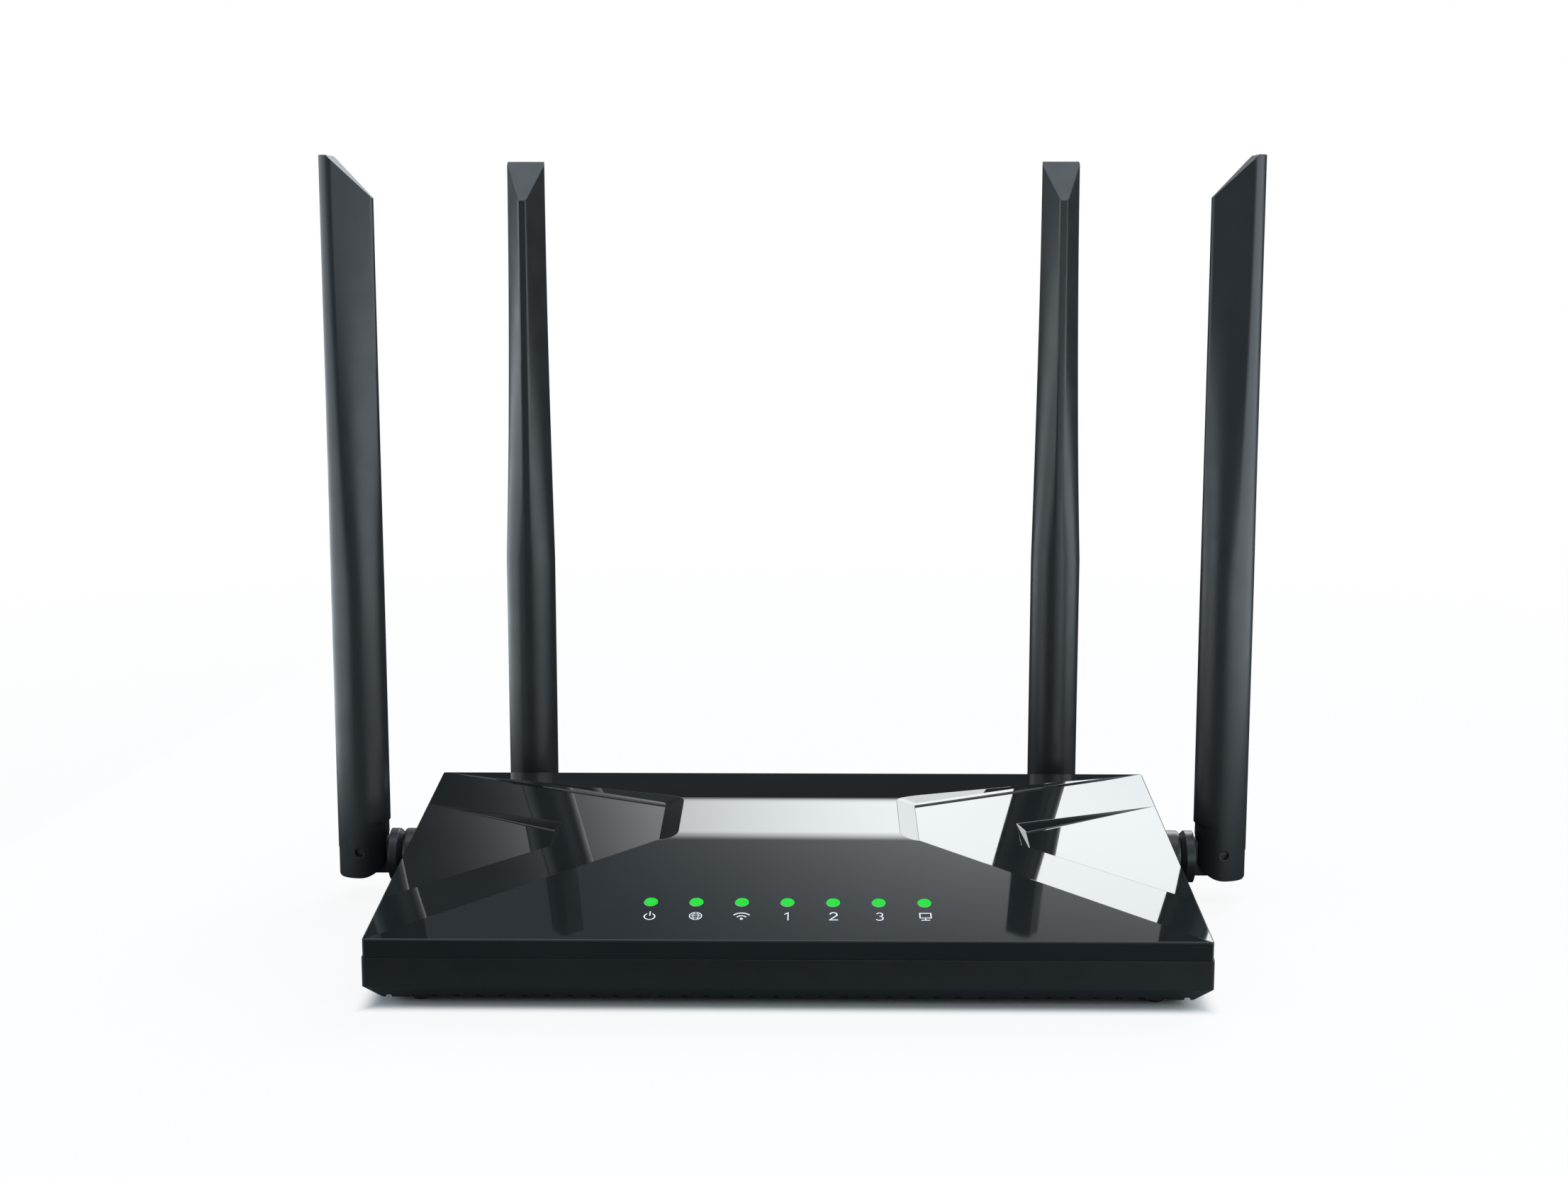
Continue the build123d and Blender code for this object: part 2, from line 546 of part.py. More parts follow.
def antenna_places():
    """Frames at the four hinge pins: +Y away from the wall, X along the pin."""
    rear = [Pos(side * REAR_ANTENNA_X, REAR_ANTENNA_Y, PIN_Z) for side in (-1, 1)]
    left = Pos(-SIDE_ANTENNA_X, SIDE_ANTENNA_Y, PIN_Z) * Rot(0, 0, 90)
    right = Pos(SIDE_ANTENNA_X, SIDE_ANTENNA_Y, PIN_Z) * Rot(0, 0, -90)
    return rear + [left, right]


def on_circle(radius, angle):
    return (radius * cos(radians(angle)), radius * sin(radians(angle)))


def edge_through(start, middle, end):
    """Line or arc through three points."""
    chord = Line(start, end)
    return chord if (chord @ 0.5 - Vector(*middle)).length < TOUCH else ThreePointArc(start, middle, end)


def halfway(a, b, share=0.5):
    return tuple(p + (q - p) * share for p, q in zip(a, b))


def round_half():
    """Right half of the round lower section, as points: edge ends and middles, ridge to back."""
    r = ANTENNA_RADIUS
    flat = (RIDGE_HALF - RIDGE_EASE, -RIDGE_U)
    ridge = (RIDGE_HALF, -sqrt(r ** 2 - RIDGE_HALF ** 2) - RIDGE_SHOULDER)
    reach = sqrt(ridge[0] ** 2 + ridge[1] ** 2)
    touch = degrees(atan2(ridge[1], ridge[0]) + RIDGE_BLEND * acos(r / reach))
    first, last = CORNER_ARC
    side = on_circle(r, touch)
    return [flat, halfway(flat, ridge), ridge, halfway(ridge, side), side,
            on_circle(r, (touch + first) / 2), on_circle(r, first),
            on_circle(r, (first + last) / 2), on_circle(r, last), (0, r)]


def tip_half():
    """The same points at the tip: flat sides, rounded back corners and a flat back."""
    flat = (RIDGE_HALF - RIDGE_EASE, -TIP_RIDGE_U)
    ridge = (RIDGE_HALF, RIDGE_EASE - TIP_RIDGE_U)
    crease = (TIP_HALF, TIP_BACK_U - TIP_CORNER)
    side = halfway(ridge, crease)
    bow = TIP_CORNER * (1 - sqrt(0.5))
    return [flat, halfway(flat, ridge), ridge, halfway(ridge, side), side, halfway(side, crease), crease,
            (TIP_HALF - bow, TIP_BACK_U - bow), (TIP_HALF - TIP_CORNER, TIP_BACK_U), (0, TIP_BACK_U)]


def antenna_section(share):
    """Section of the antenna between the round part (share 0) and the tip (share 1)."""
    half = [halfway(a, b, share) for a, b in zip(round_half(), tip_half())]
    loop = half + [(-w, u) for w, u in reversed(half[:-1])]
    edges = [edge_through(*loop[i:i + 3]) for i in range(0, len(loop) - 2, 2)]
    return make_face([*edges, Line(loop[-1], loop[0])])


def base_profile():
    """Side view of the antenna with its lower end rounded about the pin."""
    r = ANTENNA_BASE
    c = BASE_CORNER
    u = ANTENNA_RADIUS
    bow = c * (1 - sqrt(0.5))
    top = ANTENNA_RISE + 1
    flat_end = (-FLAT_U, -sqrt(r ** 2 - FLAT_U ** 2))
    with BuildSketch(Plane.YZ) as profile:
        with BuildLine():
            Polyline((-RIDGE_U - 1, top), (-RIDGE_U - 1, FLAT_RISE), (-RIDGE_U, FLAT_RISE),
                     (-FLAT_U, FLAT_RISE - (RIDGE_U - FLAT_U)), flat_end)
            ThreePointArc(flat_end, on_circle(r, -135), (0, -r))
            Line((0, -r), (u - c, -r))
            ThreePointArc((u - c, -r), (u - bow, -r + bow), (u, -r + c))
            Line((u, -r + c), (u + 1, top))
            Line((u + 1, top), (-RIDGE_U - 1, top))
        make_face()
    return extrude(profile.sketch, 2 * ANTENNA_RADIUS, both=True)


def make_round_part():
    """Round lower part with its ridge."""
    flat, _, ridge, _, side = round_half()[:5]
    right = [flat, ridge, halfway(ridge, side, 2)]
    outline_points = right + [(-w, u) for w, u in reversed(right)]
    length = ROUND_RISE + ANTENNA_BASE
    bar = extrude(make_face(Polyline(*outline_points, close=True)), length)
    return Pos(0, 0, -ANTENNA_BASE) * (upright(ANTENNA_RADIUS, length) + bar)


def make_antenna_casing():
    rise = (ANTENNA_RISE - ROUND_RISE) / TAPER_STEPS
    sections = [Pos(0, 0, ROUND_RISE + i * rise) * antenna_section(sin(radians(90 * i / TAPER_STEPS)))
                for i in range(TAPER_STEPS + 1)]
    casing = (make_round_part() + loft(sections, ruled=True)) & base_profile()
    slant_u = TIP_BACK_U - TIP_FLAT
    casing = casing - above((0, slant_u, ANTENNA_RISE), (1, slant_u, ANTENNA_RISE),
                            (0, -TIP_RIDGE_U, ANTENNA_RISE - TIP_DROP))
    slot_top = EYE_RADIUS + TONGUE_TURN_GAP
    low = ANTENNA_BASE + 1
    inner = Box(SLOT_WIDTH, RIDGE_U + 1 + slot_top, low + slot_top, align=(MIDDLE, LOW, LOW))
    outer = Box(SLOT_WIDTH, ANTENNA_RADIUS + 1, low + TONGUE_TURN_GAP, align=(MIDDLE, LOW, LOW))
    casing = casing - Pos(0, -RIDGE_U - 1, -low) * inner
    casing = casing - Pos(0, 0, -low) * outer
    casing = casing - upright(ANTENNA_BORE / 2, ANTENNA_BORE_RISE - slot_top / 2, 0, 0, slot_top / 2)
    return casing - rod_along_x(HINGE_PIN_DIAMETER / 2 + SEAT_GAP / 2, 4 * ANTENNA_RADIUS)


def make_radiator():
    strip = Box(*RADIATOR, align=(MIDDLE, MIDDLE, LOW))
    return Pos(0, 0, ANTENNA_BORE_RISE - RADIATOR[2]) * strip


def make_hinge_pin():
    return rod_along_x(HINGE_PIN_DIAMETER / 2, 2 * (ANTENNA_RADIUS - HINGE_PIN_RECESS))


def neck_profile():
    """Side view of the neck: full height at the flange, a rounded eye about the pin."""
    r = EYE_RADIUS
    start = -AXIS_GAP + NECK_S
    low_end = (-NECK_LOWER_END, -NECK_RADIUS - PIN_RISE)
    reach = sqrt(low_end[0] ** 2 + low_end[1] ** 2)
    touch = degrees(atan2(low_end[1], low_end[0]) + acos(r / reach))
    with BuildSketch(Plane.YZ) as profile:
        with BuildLine():
            ThreePointArc((0, r), on_circle(r, (90 + touch) / 2), on_circle(r, touch))
            Polyline(on_circle(r, touch), low_end, (start, low_end[1]), (start, r), (0, r))
        make_face()
    return extrude(profile.sketch, TONGUE_WIDTH / 2, both=True)


def make_knuckle():
    wall = -AXIS_GAP
    flange = wall + FLANGE_S
    rim = flange + FLANGE_CHAMFER[0]
    neck = wall + NECK_S
    tail = wall - CASE_WALL - SHAFT_TAIL
    groove = wall - CASE_WALL - RUNNING_GAP
    root = SHAFT_RADIUS - CLIP_GROOVE
    with BuildSketch(Plane.YZ) as half:
        with BuildLine():
            Polyline(
                (tail, 0), (tail, SHAFT_RADIUS),
                (groove - CLIP_THICKNESS - RUNNING_GAP, SHAFT_RADIUS),
                (groove - CLIP_THICKNESS - RUNNING_GAP, root),
                (groove, root), (groove, SHAFT_RADIUS),
                (flange, SHAFT_RADIUS), (flange, FLANGE_RADIUS - FLANGE_CHAMFER[1]),
                (rim, FLANGE_RADIUS), (neck, FLANGE_RADIUS), (neck, 0),
                close=True,
            )
        make_face()
    turned = Pos(0, 0, -PIN_RISE) * revolve(half.sketch, Axis.Y)
    bar = rod_along_y(NECK_RADIUS, neck - FLANGE_RIM / 2, EYE_RADIUS + 1, 0, -PIN_RISE)
    knuckle = turned + (bar & neck_profile())
    knuckle = knuckle - rod_along_x(HINGE_PIN_DIAMETER / 2 + RUNNING_GAP, 2 * TONGUE_WIDTH)
    turn = -NECK_LOWER_END - CABLE_BORE / 2
    knuckle = knuckle - rod_along_y(CABLE_BORE / 2, tail - 1, turn, 0, -PIN_RISE)
    return knuckle - upright(CABLE_BORE / 2, 2 * NECK_RADIUS, 0, turn, -PIN_RISE)


def make_collar():
    wall = -AXIS_GAP
    with BuildSketch(Plane.YZ) as half:
        with BuildLine():
            Polyline(
                (wall - CASE_WALL + SEAM_STEP, SHAFT_RADIUS + RUNNING_GAP),
                (wall - CASE_WALL + SEAM_STEP, COLLAR_SPIGOT_RADIUS),
                (wall + SEAM_STEP, COLLAR_SPIGOT_RADIUS), (wall + SEAM_STEP, FLANGE_RADIUS),
                (wall + COLLAR_LENGTH, FLANGE_RADIUS), (wall + COLLAR_LENGTH, SHAFT_RADIUS + RUNNING_GAP),
                close=True,
            )
        make_face()
    ring = revolve(half.sketch, Axis.Y)
    circles = ring.edges().filter_by(GeomType.CIRCLE)
    outer = circles.filter_by(lambda e: abs(e.radius - FLANGE_RADIUS) < TOUCH)
    ring = fillet(outer.sort_by(Axis.Y)[-1], COLLAR_ROUNDING)
    return Pos(0, 0, -PIN_RISE) * ring


def make_clip():
    root = SHAFT_RADIUS - CLIP_GROOVE + SEAT_GAP
    end = -AXIS_GAP - CASE_WALL - 1.5 * RUNNING_GAP
    ring = rod_along_y(CLIP_RADIUS, end - CLIP_THICKNESS, end) - rod_along_y(root, end - 2, end + 1)
    mouth = Box(CLIP_MOUTH, 3 * CLIP_THICKNESS, CLIP_RADIUS + 1, align=(MIDDLE, MIDDLE, LOW))
    return Pos(0, 0, -PIN_RISE) * (ring - Pos(0, end, 0) * mouth)


# Light pipes and board

def make_light_pipes():
    bottom = BOARD_TOP + LAMP_CHIP[2] + LAMP_GAP
    front = ridge_form(0, 0, 0)
    web = Box(LAMP_XS[-1] - LAMP_XS[0], *GUIDE_WEB, align=(MIDDLE, MIDDLE, LOW))
    guide = Pos(0, LAMP_Y, GUIDE_WEB_Z) * web
    for x in LAMP_XS:
        guide = guide + upright(LAMP_DIAMETER / 2, CREST[1] - bottom, x, LAMP_Y, bottom)
    return guide & front


def make_status_lamps():
    chip = Box(*LAMP_CHIP, align=(MIDDLE, MIDDLE, LOW))
    return Compound(children=[Pos(x, LAMP_Y, BOARD_TOP) * chip for x in LAMP_XS])


def make_main_board():
    board = Pos(0, BOARD_FRONT_Y, BOARD_Z) * Box(*BOARD, align=(MIDDLE, LOW, LOW))
    for x, y in BOARD_HOLES:
        board = board - upright(BOARD_SCREW[0] + SEAT_GAP, 3 * BOARD[2], x, y, BOARD_Z - BOARD[2])
    return board


def make_board_screws():
    shank_radius, head_radius, head_height, grip = BOARD_SCREW
    screw = upright(shank_radius - SEAT_GAP, grip + BOARD[2], 0, 0, -grip - BOARD[2])
    screw = screw + upright(head_radius, head_height)
    screw = screw - Pos(0, 0, head_height / 2) * Box(2 * head_radius, head_radius / 4, head_height)
    return Compound(children=[Pos(x, y, BOARD_TOP) * screw for x, y in BOARD_HOLES])


def on_board(size, x, y):
    """Block standing on the board."""
    return Pos(x, y, BOARD_TOP) * Box(*size, align=(MIDDLE, MIDDLE, LOW))


def make_network_socket(x):
    """Eight-way socket: open mouth to the rear with a stepped latch channel below it."""
    face = CASE_BACK_Y + SOCKET_PROUD
    body = Box(*NETWORK_SOCKET, align=(MIDDLE, HIGH, LOW))
    width, depth, height = PLUG_MOUTH
    mouth = Box(width, depth + 1, height, align=(MIDDLE, HIGH, LOW))
    body = body - Pos(0, 1, PLUG_MOUTH_Z) * mouth
    step_z = PLUG_MOUTH_Z
    for step_width, step_height in LATCH_STEPS:
        step_z = step_z - step_height
        step = Box(step_width, depth + 1, step_height + 1, align=(MIDDLE, HIGH, LOW))
        body = body - Pos(0, 1, step_z) * step
    return Pos(x, face, BOARD_TOP) * body


def make_contacts():
    """Spring wires hanging at a slant from the roof of each socket."""
    width, thick, length = CONTACT
    wire = Rot(CONTACT_ANGLE, 0, 0) * Box(width, length, thick, align=(MIDDLE, HIGH, HIGH))
    root_y = CASE_BACK_Y + SOCKET_PROUD - PLUG_MOUTH[1] + length
    roof = BOARD_TOP + PLUG_MOUTH_Z + PLUG_MOUTH[2]
    wires = []
    for x in NETWORK_X:
        for i in range(CONTACT_COUNT):
            offset = (i - (CONTACT_COUNT - 1) / 2) * CONTACT_PITCH
            wires.append(Pos(x + offset, root_y, roof) * wire)
    return Compound(children=wires)


def make_power_socket():
    body = Pos(POWER_X, CASE_BACK_Y, BOARD_TOP) * Box(*POWER_SOCKET, align=(MIDDLE, HIGH, LOW))
    return body - rod_along_y(POWER_BORE / 2, CASE_BACK_Y - POWER_BORE_DEPTH, CASE_BACK_Y + 1,
                              POWER_X, BOARD_TOP + POWER_AXIS_Z)


def make_power_pin():
    diameter, length = POWER_PIN
    start = CASE_BACK_Y - POWER_BORE_DEPTH
    pin = rod_along_y(diameter / 2, start, start + length, POWER_X, BOARD_TOP + POWER_AXIS_Z)
    return fillet(pin.edges().group_by(Axis.Y)[-1], diameter / 4)


def make_push_button():
    radius, thick = BUTTON_FLANGE
    z = BOARD_TOP + BUTTON_AXIS_Z
    inner = CASE_INNER_BACK_Y - RUNNING_GAP
    cap = rod_along_y(BUTTON_RADIUS, inner, CASE_BACK_Y + BUTTON_PROUD, BUTTON_X, z)
    cap = fillet(cap.edges().group_by(Axis.Y)[-1], BUTTON_RADIUS / 5)
    return cap + rod_along_y(radius, inner - thick, inner, BUTTON_X, z)


def switch_face_y():
    """Depth of the switch face, one stem and one flange behind the wall."""
    return CASE_INNER_BACK_Y - RUNNING_GAP - BUTTON_FLANGE[1] - SWITCH_STEM


def make_switch():
    width, depth, height = SWITCH
    face = switch_face_y()
    body = Box(width, depth, BUTTON_AXIS_Z + height / 2, align=(MIDDLE, HIGH, LOW))
    hole = rod_along_y(SWITCH_STEM_RADIUS + RUNNING_GAP, face - depth / 2, face + 1,
                       BUTTON_X, BOARD_TOP + BUTTON_AXIS_Z)
    return Pos(BUTTON_X, face, BOARD_TOP) * body - hole


def make_switch_stem():
    face = switch_face_y()
    inside = SWITCH[1] / 2 - BUTTON_TRAVEL - RUNNING_GAP
    return rod_along_y(SWITCH_STEM_RADIUS, face - inside, face + SWITCH_STEM,
                       BUTTON_X, BOARD_TOP + BUTTON_AXIS_Z)


def make_heat_sink():
    width, depth, height = HEAT_SINK
    fin = width / (2 * HEAT_SINK_FINS - 1)
    gap = Box(fin, depth + 2, height, align=(MIDDLE, MIDDLE, LOW))
    sink = Box(*HEAT_SINK, align=(MIDDLE, MIDDLE, LOW))
    for i in range(HEAT_SINK_FINS - 1):
        sink = sink - Pos((2 * i - HEAT_SINK_FINS + 2) * fin, 0, HEAT_SINK_BASE) * gap
    return Pos(*PROCESSOR[1], BOARD_TOP + PROCESSOR[0][2]) * sink


def make_capacitors():
    radius, height, points = CAPACITOR
    can = upright(radius, height)
    can = fillet(can.edges().group_by(Axis.Z)[-1], radius / 8)
    return Compound(children=[Pos(x, CASE_BACK_Y + y, BOARD_TOP) * can for x, y in points])


def cable_plug_points():
    return [(side * x, CASE_BACK_Y - CABLE_PLUG_BACK) for x in CABLE_PLUG_X for side in (-1, 1)]


def make_cable_plugs():
    radius, height = CABLE_PLUG
    return Compound(children=[upright(radius, height, x, y, BOARD_TOP) for x, y in cable_plug_points()])


def cable(points):
    """Thin antenna lead: straight runs joined by tangent arcs."""
    radii = []
    for before, corner, after in zip(points, points[1:], points[2:]):
        run_in = Vector(*corner) - Vector(*before)
        run_out = Vector(*after) - Vector(*corner)
        turn = radians(run_in.get_angle(run_out))
        radii.append(LEAD_BEND_SHARE * min(run_in.length, run_out.length) / tan(turn / 2))
    path = FilletPolyline(*points, radius=radii)
    return sweep((path ^ 0) * Circle(CABLE_RADIUS), path)


def make_antenna_leads():
    plug_z = BOARD_TOP + CABLE_PLUG[1] - CABLE_RADIUS
    plug_edge = CABLE_PLUG[0] + CABLE_END_GAP
    tail = CASE_WALL + SHAFT_TAIL + CABLE_END_GAP
    plug_y = CASE_BACK_Y - CABLE_PLUG_BACK
    rear = [(REAR_ANTENNA_X, BODY_DEPTH - tail, SWIVEL_Z),
            (REAR_ANTENNA_X, BODY_DEPTH - tail - 2 * CABLE_END_RUN, SWIVEL_Z)]
    side = [(HALF_WIDTH - tail, SIDE_ANTENNA_Y, SWIVEL_Z),
            (HALF_WIDTH - tail - 2 * CABLE_END_RUN, SIDE_ANTENNA_Y, SWIVEL_Z)]
    routes = ((rear, REAR_LEAD_BENDS, CABLE_PLUG_X[0]), (side, SIDE_LEAD_BENDS, CABLE_PLUG_X[1]))
    for route, bends, x in routes:
        route.extend((bend_x, CASE_BACK_Y + y, z) for bend_x, y, z in bends)
        route.append((x + plug_edge + CABLE_END_RUN, plug_y, plug_z))
        route.append((x + plug_edge, plug_y, plug_z))
    leads = [cable(rear), cable(side)]
    return Compound(children=leads + [mirror(lead, Plane.YZ) for lead in leads])


def save(name, shape):
    bodies = [CENTRE_SHIFT * body for body in shape.solids()]
    placed = bodies[0] if len(bodies) == 1 else Compound(children=bodies)
    placed.label = name
    export_step(placed, f"parts/{name}.step")


os.makedirs("parts", exist_ok=True)

save("top_cover", make_top_cover())
save("bottom_case", make_bottom_case())
save("rubber_feet", make_feet())
save("case_screws", make_case_screws())
save("light_pipes", make_light_pipes())
save("status_lamps", make_status_lamps())
save("main_board", make_main_board())
save("board_screws", make_board_screws())
for name, x in zip(("wan_socket", "lan_socket_1", "lan_socket_2", "lan_socket_3"), NETWORK_X):
    save(name, make_network_socket(x))
save("socket_contacts", make_contacts())
save("power_socket", make_power_socket())
save("power_socket_pin", make_power_pin())
save("push_button", make_push_button())
save("switch_body", make_switch())
save("switch_stem", make_switch_stem())
save("processor", on_board(PROCESSOR[0], *PROCESSOR[1]))
save("heat_sink", make_heat_sink())
save("memory_chip", on_board(MEMORY[0], *MEMORY[1]))
save("flash_chip", on_board(FLASH[0], *FLASH[1]))
save("line_transformers", Compound(children=[
    on_board(TRANSFORMER[0], x, CASE_BACK_Y + y) for x, y in TRANSFORMER[1]]))
save("shield_cans", Compound(children=[on_board(SHIELD_CAN[0], *p) for p in SHIELD_CAN[1]]))
save("capacitors", make_capacitors())
save("cable_plugs", make_cable_plugs())
save("antenna_leads", make_antenna_leads())

antenna_pieces = {
    "antenna_casing": make_antenna_casing(),
    "antenna_radiator": make_radiator(),
    "hinge_pin": make_hinge_pin(),
    "knuckle": make_knuckle(),
    "antenna_collar": make_collar(),
    "retaining_clip": make_clip(),
}
for place, side in zip(antenna_places(), ("rear_left", "rear_right", "side_left", "side_right")):
    for piece, shape in antenna_pieces.items():
        save(f"{piece}_{side}", place * shape)
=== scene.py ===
import bmesh
import bpy
import json
from math import atan, atan2, cos, degrees, pi, radians, sin, sqrt
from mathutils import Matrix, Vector


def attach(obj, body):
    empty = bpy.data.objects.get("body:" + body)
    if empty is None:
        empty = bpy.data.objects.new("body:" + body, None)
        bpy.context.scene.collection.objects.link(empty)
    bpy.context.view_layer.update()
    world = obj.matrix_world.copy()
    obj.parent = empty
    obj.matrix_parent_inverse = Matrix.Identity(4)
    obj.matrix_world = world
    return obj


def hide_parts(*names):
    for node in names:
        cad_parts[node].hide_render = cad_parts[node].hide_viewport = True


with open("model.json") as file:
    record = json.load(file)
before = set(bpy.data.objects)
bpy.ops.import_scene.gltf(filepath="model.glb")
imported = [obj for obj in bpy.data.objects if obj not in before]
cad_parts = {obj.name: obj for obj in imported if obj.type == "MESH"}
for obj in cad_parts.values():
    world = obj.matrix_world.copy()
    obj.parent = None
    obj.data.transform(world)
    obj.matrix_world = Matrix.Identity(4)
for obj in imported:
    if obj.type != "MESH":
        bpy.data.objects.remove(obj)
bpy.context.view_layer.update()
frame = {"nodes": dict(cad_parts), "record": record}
scene = bpy.context.scene
scene.view_settings.view_transform = "Standard"
MM = 0.001


def aim(thing, direction):
    """Turns a camera or a lamp to look along a direction."""
    thing.rotation_mode = "QUATERNION"
    thing.rotation_quaternion = direction.to_track_quat("-Z", "Y")


# Camera at the photograph's viewpoint
CAMERA_PLACE = (0.005485, -0.53097, 0.162835)
CAMERA_PITCH = radians(8.6923)
CAMERA_YAW = radians(-0.7553)
SENSOR_WIDTH = 36.0
FOCAL_LENGTH = 51.70
CLIP_NEAR = 0.01
CLIP_FAR = 50.0


def make_camera():
    data = bpy.data.cameras.new("camera")
    data.sensor_width = SENSOR_WIDTH
    data.lens = FOCAL_LENGTH
    data.clip_start = CLIP_NEAR
    data.clip_end = CLIP_FAR
    camera = bpy.data.objects.new("camera", data)
    scene.collection.objects.link(camera)
    camera.location = CAMERA_PLACE
    level = cos(CAMERA_PITCH)
    aim(camera, Vector((sin(CAMERA_YAW) * level, cos(CAMERA_YAW) * level, -sin(CAMERA_PITCH))))
    scene.camera = camera


make_camera()

# Node helpers
GLOSS_SHARE = 0.015    # share of the white background that gloss shows
MIX_FACTOR, MIX_FIRST, MIX_SECOND, MIX_RESULT = 0, 6, 7, 2    # a Mix node's sockets for colours


class Nodes:
    """Builds a node tree one call at a time. Inputs are sockets, numbers or colours."""

    def __init__(self, tree):
        self.tree = tree
        tree.nodes.clear()

    def fill(self, socket, value):
        """Links an input to another node's output, or sets its value."""
        if isinstance(value, bpy.types.NodeSocket):
            self.tree.links.new(value, socket)
        else:
            socket.default_value = value

    def add(self, kind, out=0, props=None, **inputs):
        """Adds a node. An input goes by its name, with underscores for spaces, or by its number, as i0."""
        node = self.tree.nodes.new(kind)
        for key, value in (props or {}).items():
            setattr(node, key, value)
        for key, value in inputs.items():
            numbered = key[0] == "i" and key[1:].isdigit()
            self.fill(node.inputs[int(key[1:]) if numbered else key.replace("_", " ")], value)
        return node if out is None else node.outputs[out]

    def math(self, operation, a, b=0.0, c=0.0):
        return self.add("ShaderNodeMath", props={"operation": operation}, i0=a, i1=b, i2=c)

    def smooth(self, value, low, high, to_low=0.0, to_high=1.0):
        """Smooth step from one number to another as the value goes from low to high."""
        return self.add("ShaderNodeMapRange", props={"interpolation_type": "SMOOTHSTEP"}, Value=value,
                        From_Min=low, From_Max=high, To_Min=to_low, To_Max=to_high)

    def noise(self, vector, scale, detail=2.0, roughness=0.5):
        return self.add("ShaderNodeTexNoise", Vector=vector, Scale=scale, Detail=detail, Roughness=roughness)

    def blend(self, factor, first, second):
        """Mixes two colours, each a socket or three numbers."""
        node = self.add("ShaderNodeMix", out=None, props={"data_type": "RGBA"})
        self.fill(node.inputs[MIX_FACTOR], factor)
        for index, colour in ((MIX_FIRST, first), (MIX_SECOND, second)):
            linked = isinstance(colour, bpy.types.NodeSocket)
            self.fill(node.inputs[index], colour if linked else (*colour, 1.0))
        return node.outputs[MIX_RESULT]

    def background_share(self):
        """One for rays that see the white background, a small share for gloss, and nothing for light."""
        ray = self.add("ShaderNodeLightPath", out=None).outputs
        clear = self.math("MAXIMUM", ray["Is Camera Ray"], ray["Is Transmission Ray"])
        return self.math("MAXIMUM", clear, self.math("MULTIPLY", ray["Is Glossy Ray"], GLOSS_SHARE))


# Materials, kept by name. Those of CAD parts have the names of the record's slots.
LOOKS = {}
COLOUR_SPAN = (0.30, 0.70)    # noise values over which a colour goes from dark to light
GLOSS_SPAN = (0.25, 0.75)     # noise values over which the roughness rises
MOTTLE_SCALE = 45.0
SMEAR_SCALE = 160.0
ALONG_X = (0.05, 1.0, 1.0)
ALONG_Z = (1.0, 1.0, 0.05)


def material(name):
    made = bpy.data.materials.new(name)
    made.use_nodes = True
    LOOKS[name] = made
    return Nodes(made.node_tree)


def finish_material(nodes, shader):
    nodes.add("ShaderNodeOutputMaterial", out=None, Surface=shader)


def plastic(name, dark, light, rough, grain, bump, soften, **fixed):
    """Moulded plastic: mottled colour, uneven gloss, fine grain, and edges softened by a bevel normal."""
    nodes = material(name)
    place = nodes.add("ShaderNodeTexCoord", out="Object")
    mottle = nodes.noise(place, MOTTLE_SCALE, 3.0)
    fine = nodes.noise(place, grain, 2.0, 0.6)
    smear = nodes.noise(place, SMEAR_SCALE, 4.0)
    colour = nodes.blend(nodes.smooth(mottle, *COLOUR_SPAN), dark, light)
    gloss = nodes.smooth(smear, *GLOSS_SPAN, *rough)
    edge = nodes.add("ShaderNodeBevel", props={"samples": 6}, Radius=soften)
    strength, depth = bump
    normal = nodes.add("ShaderNodeBump", Strength=strength, Distance=depth, Height=fine, Normal=edge)
    shader = nodes.add("ShaderNodeBsdfPrincipled", Base_Color=colour, Roughness=gloss, Normal=normal, **fixed)
    finish_material(nodes, shader)


def metal(name, dark, light, rough, scratch, stretch):
    """Metal with fine drawn scratches along one axis."""
    nodes = material(name)
    place = nodes.add("ShaderNodeTexCoord", out="Object")
    drawn = nodes.add("ShaderNodeMapping", Vector=place, Scale=stretch)
    lines = nodes.noise(drawn, scratch, 3.0, 0.6)
    colour = nodes.blend(nodes.smooth(lines, *COLOUR_SPAN), dark, light)
    gloss = nodes.smooth(lines, *GLOSS_SPAN, *rough)
    normal = nodes.add("ShaderNodeBump", Strength=0.12, Distance=0.00002, Height=lines)
    shader = nodes.add("ShaderNodeBsdfPrincipled", Base_Color=colour, Roughness=gloss, Normal=normal,
                       Metallic=1.0)
    finish_material(nodes, shader)


def circuit_board():
    """Green lacquer over a pattern of tracks."""
    nodes = material("circuit_board")
    place = nodes.add("ShaderNodeTexCoord", out="Object")
    tracks = nodes.add("ShaderNodeTexBrick", out="Fac", props={"offset": 0.37}, Vector=place, Scale=260.0,
                       Mortar_Size=0.08)
    colour = nodes.blend(nodes.smooth(tracks, 0.2, 0.8), (0.012, 0.085, 0.030), (0.030, 0.170, 0.060))
    normal = nodes.add("ShaderNodeBump", Strength=0.3, Distance=0.00004, Height=tracks)
    shader = nodes.add("ShaderNodeBsdfPrincipled", Base_Color=colour, Roughness=0.35, Normal=normal)
    finish_material(nodes, shader)


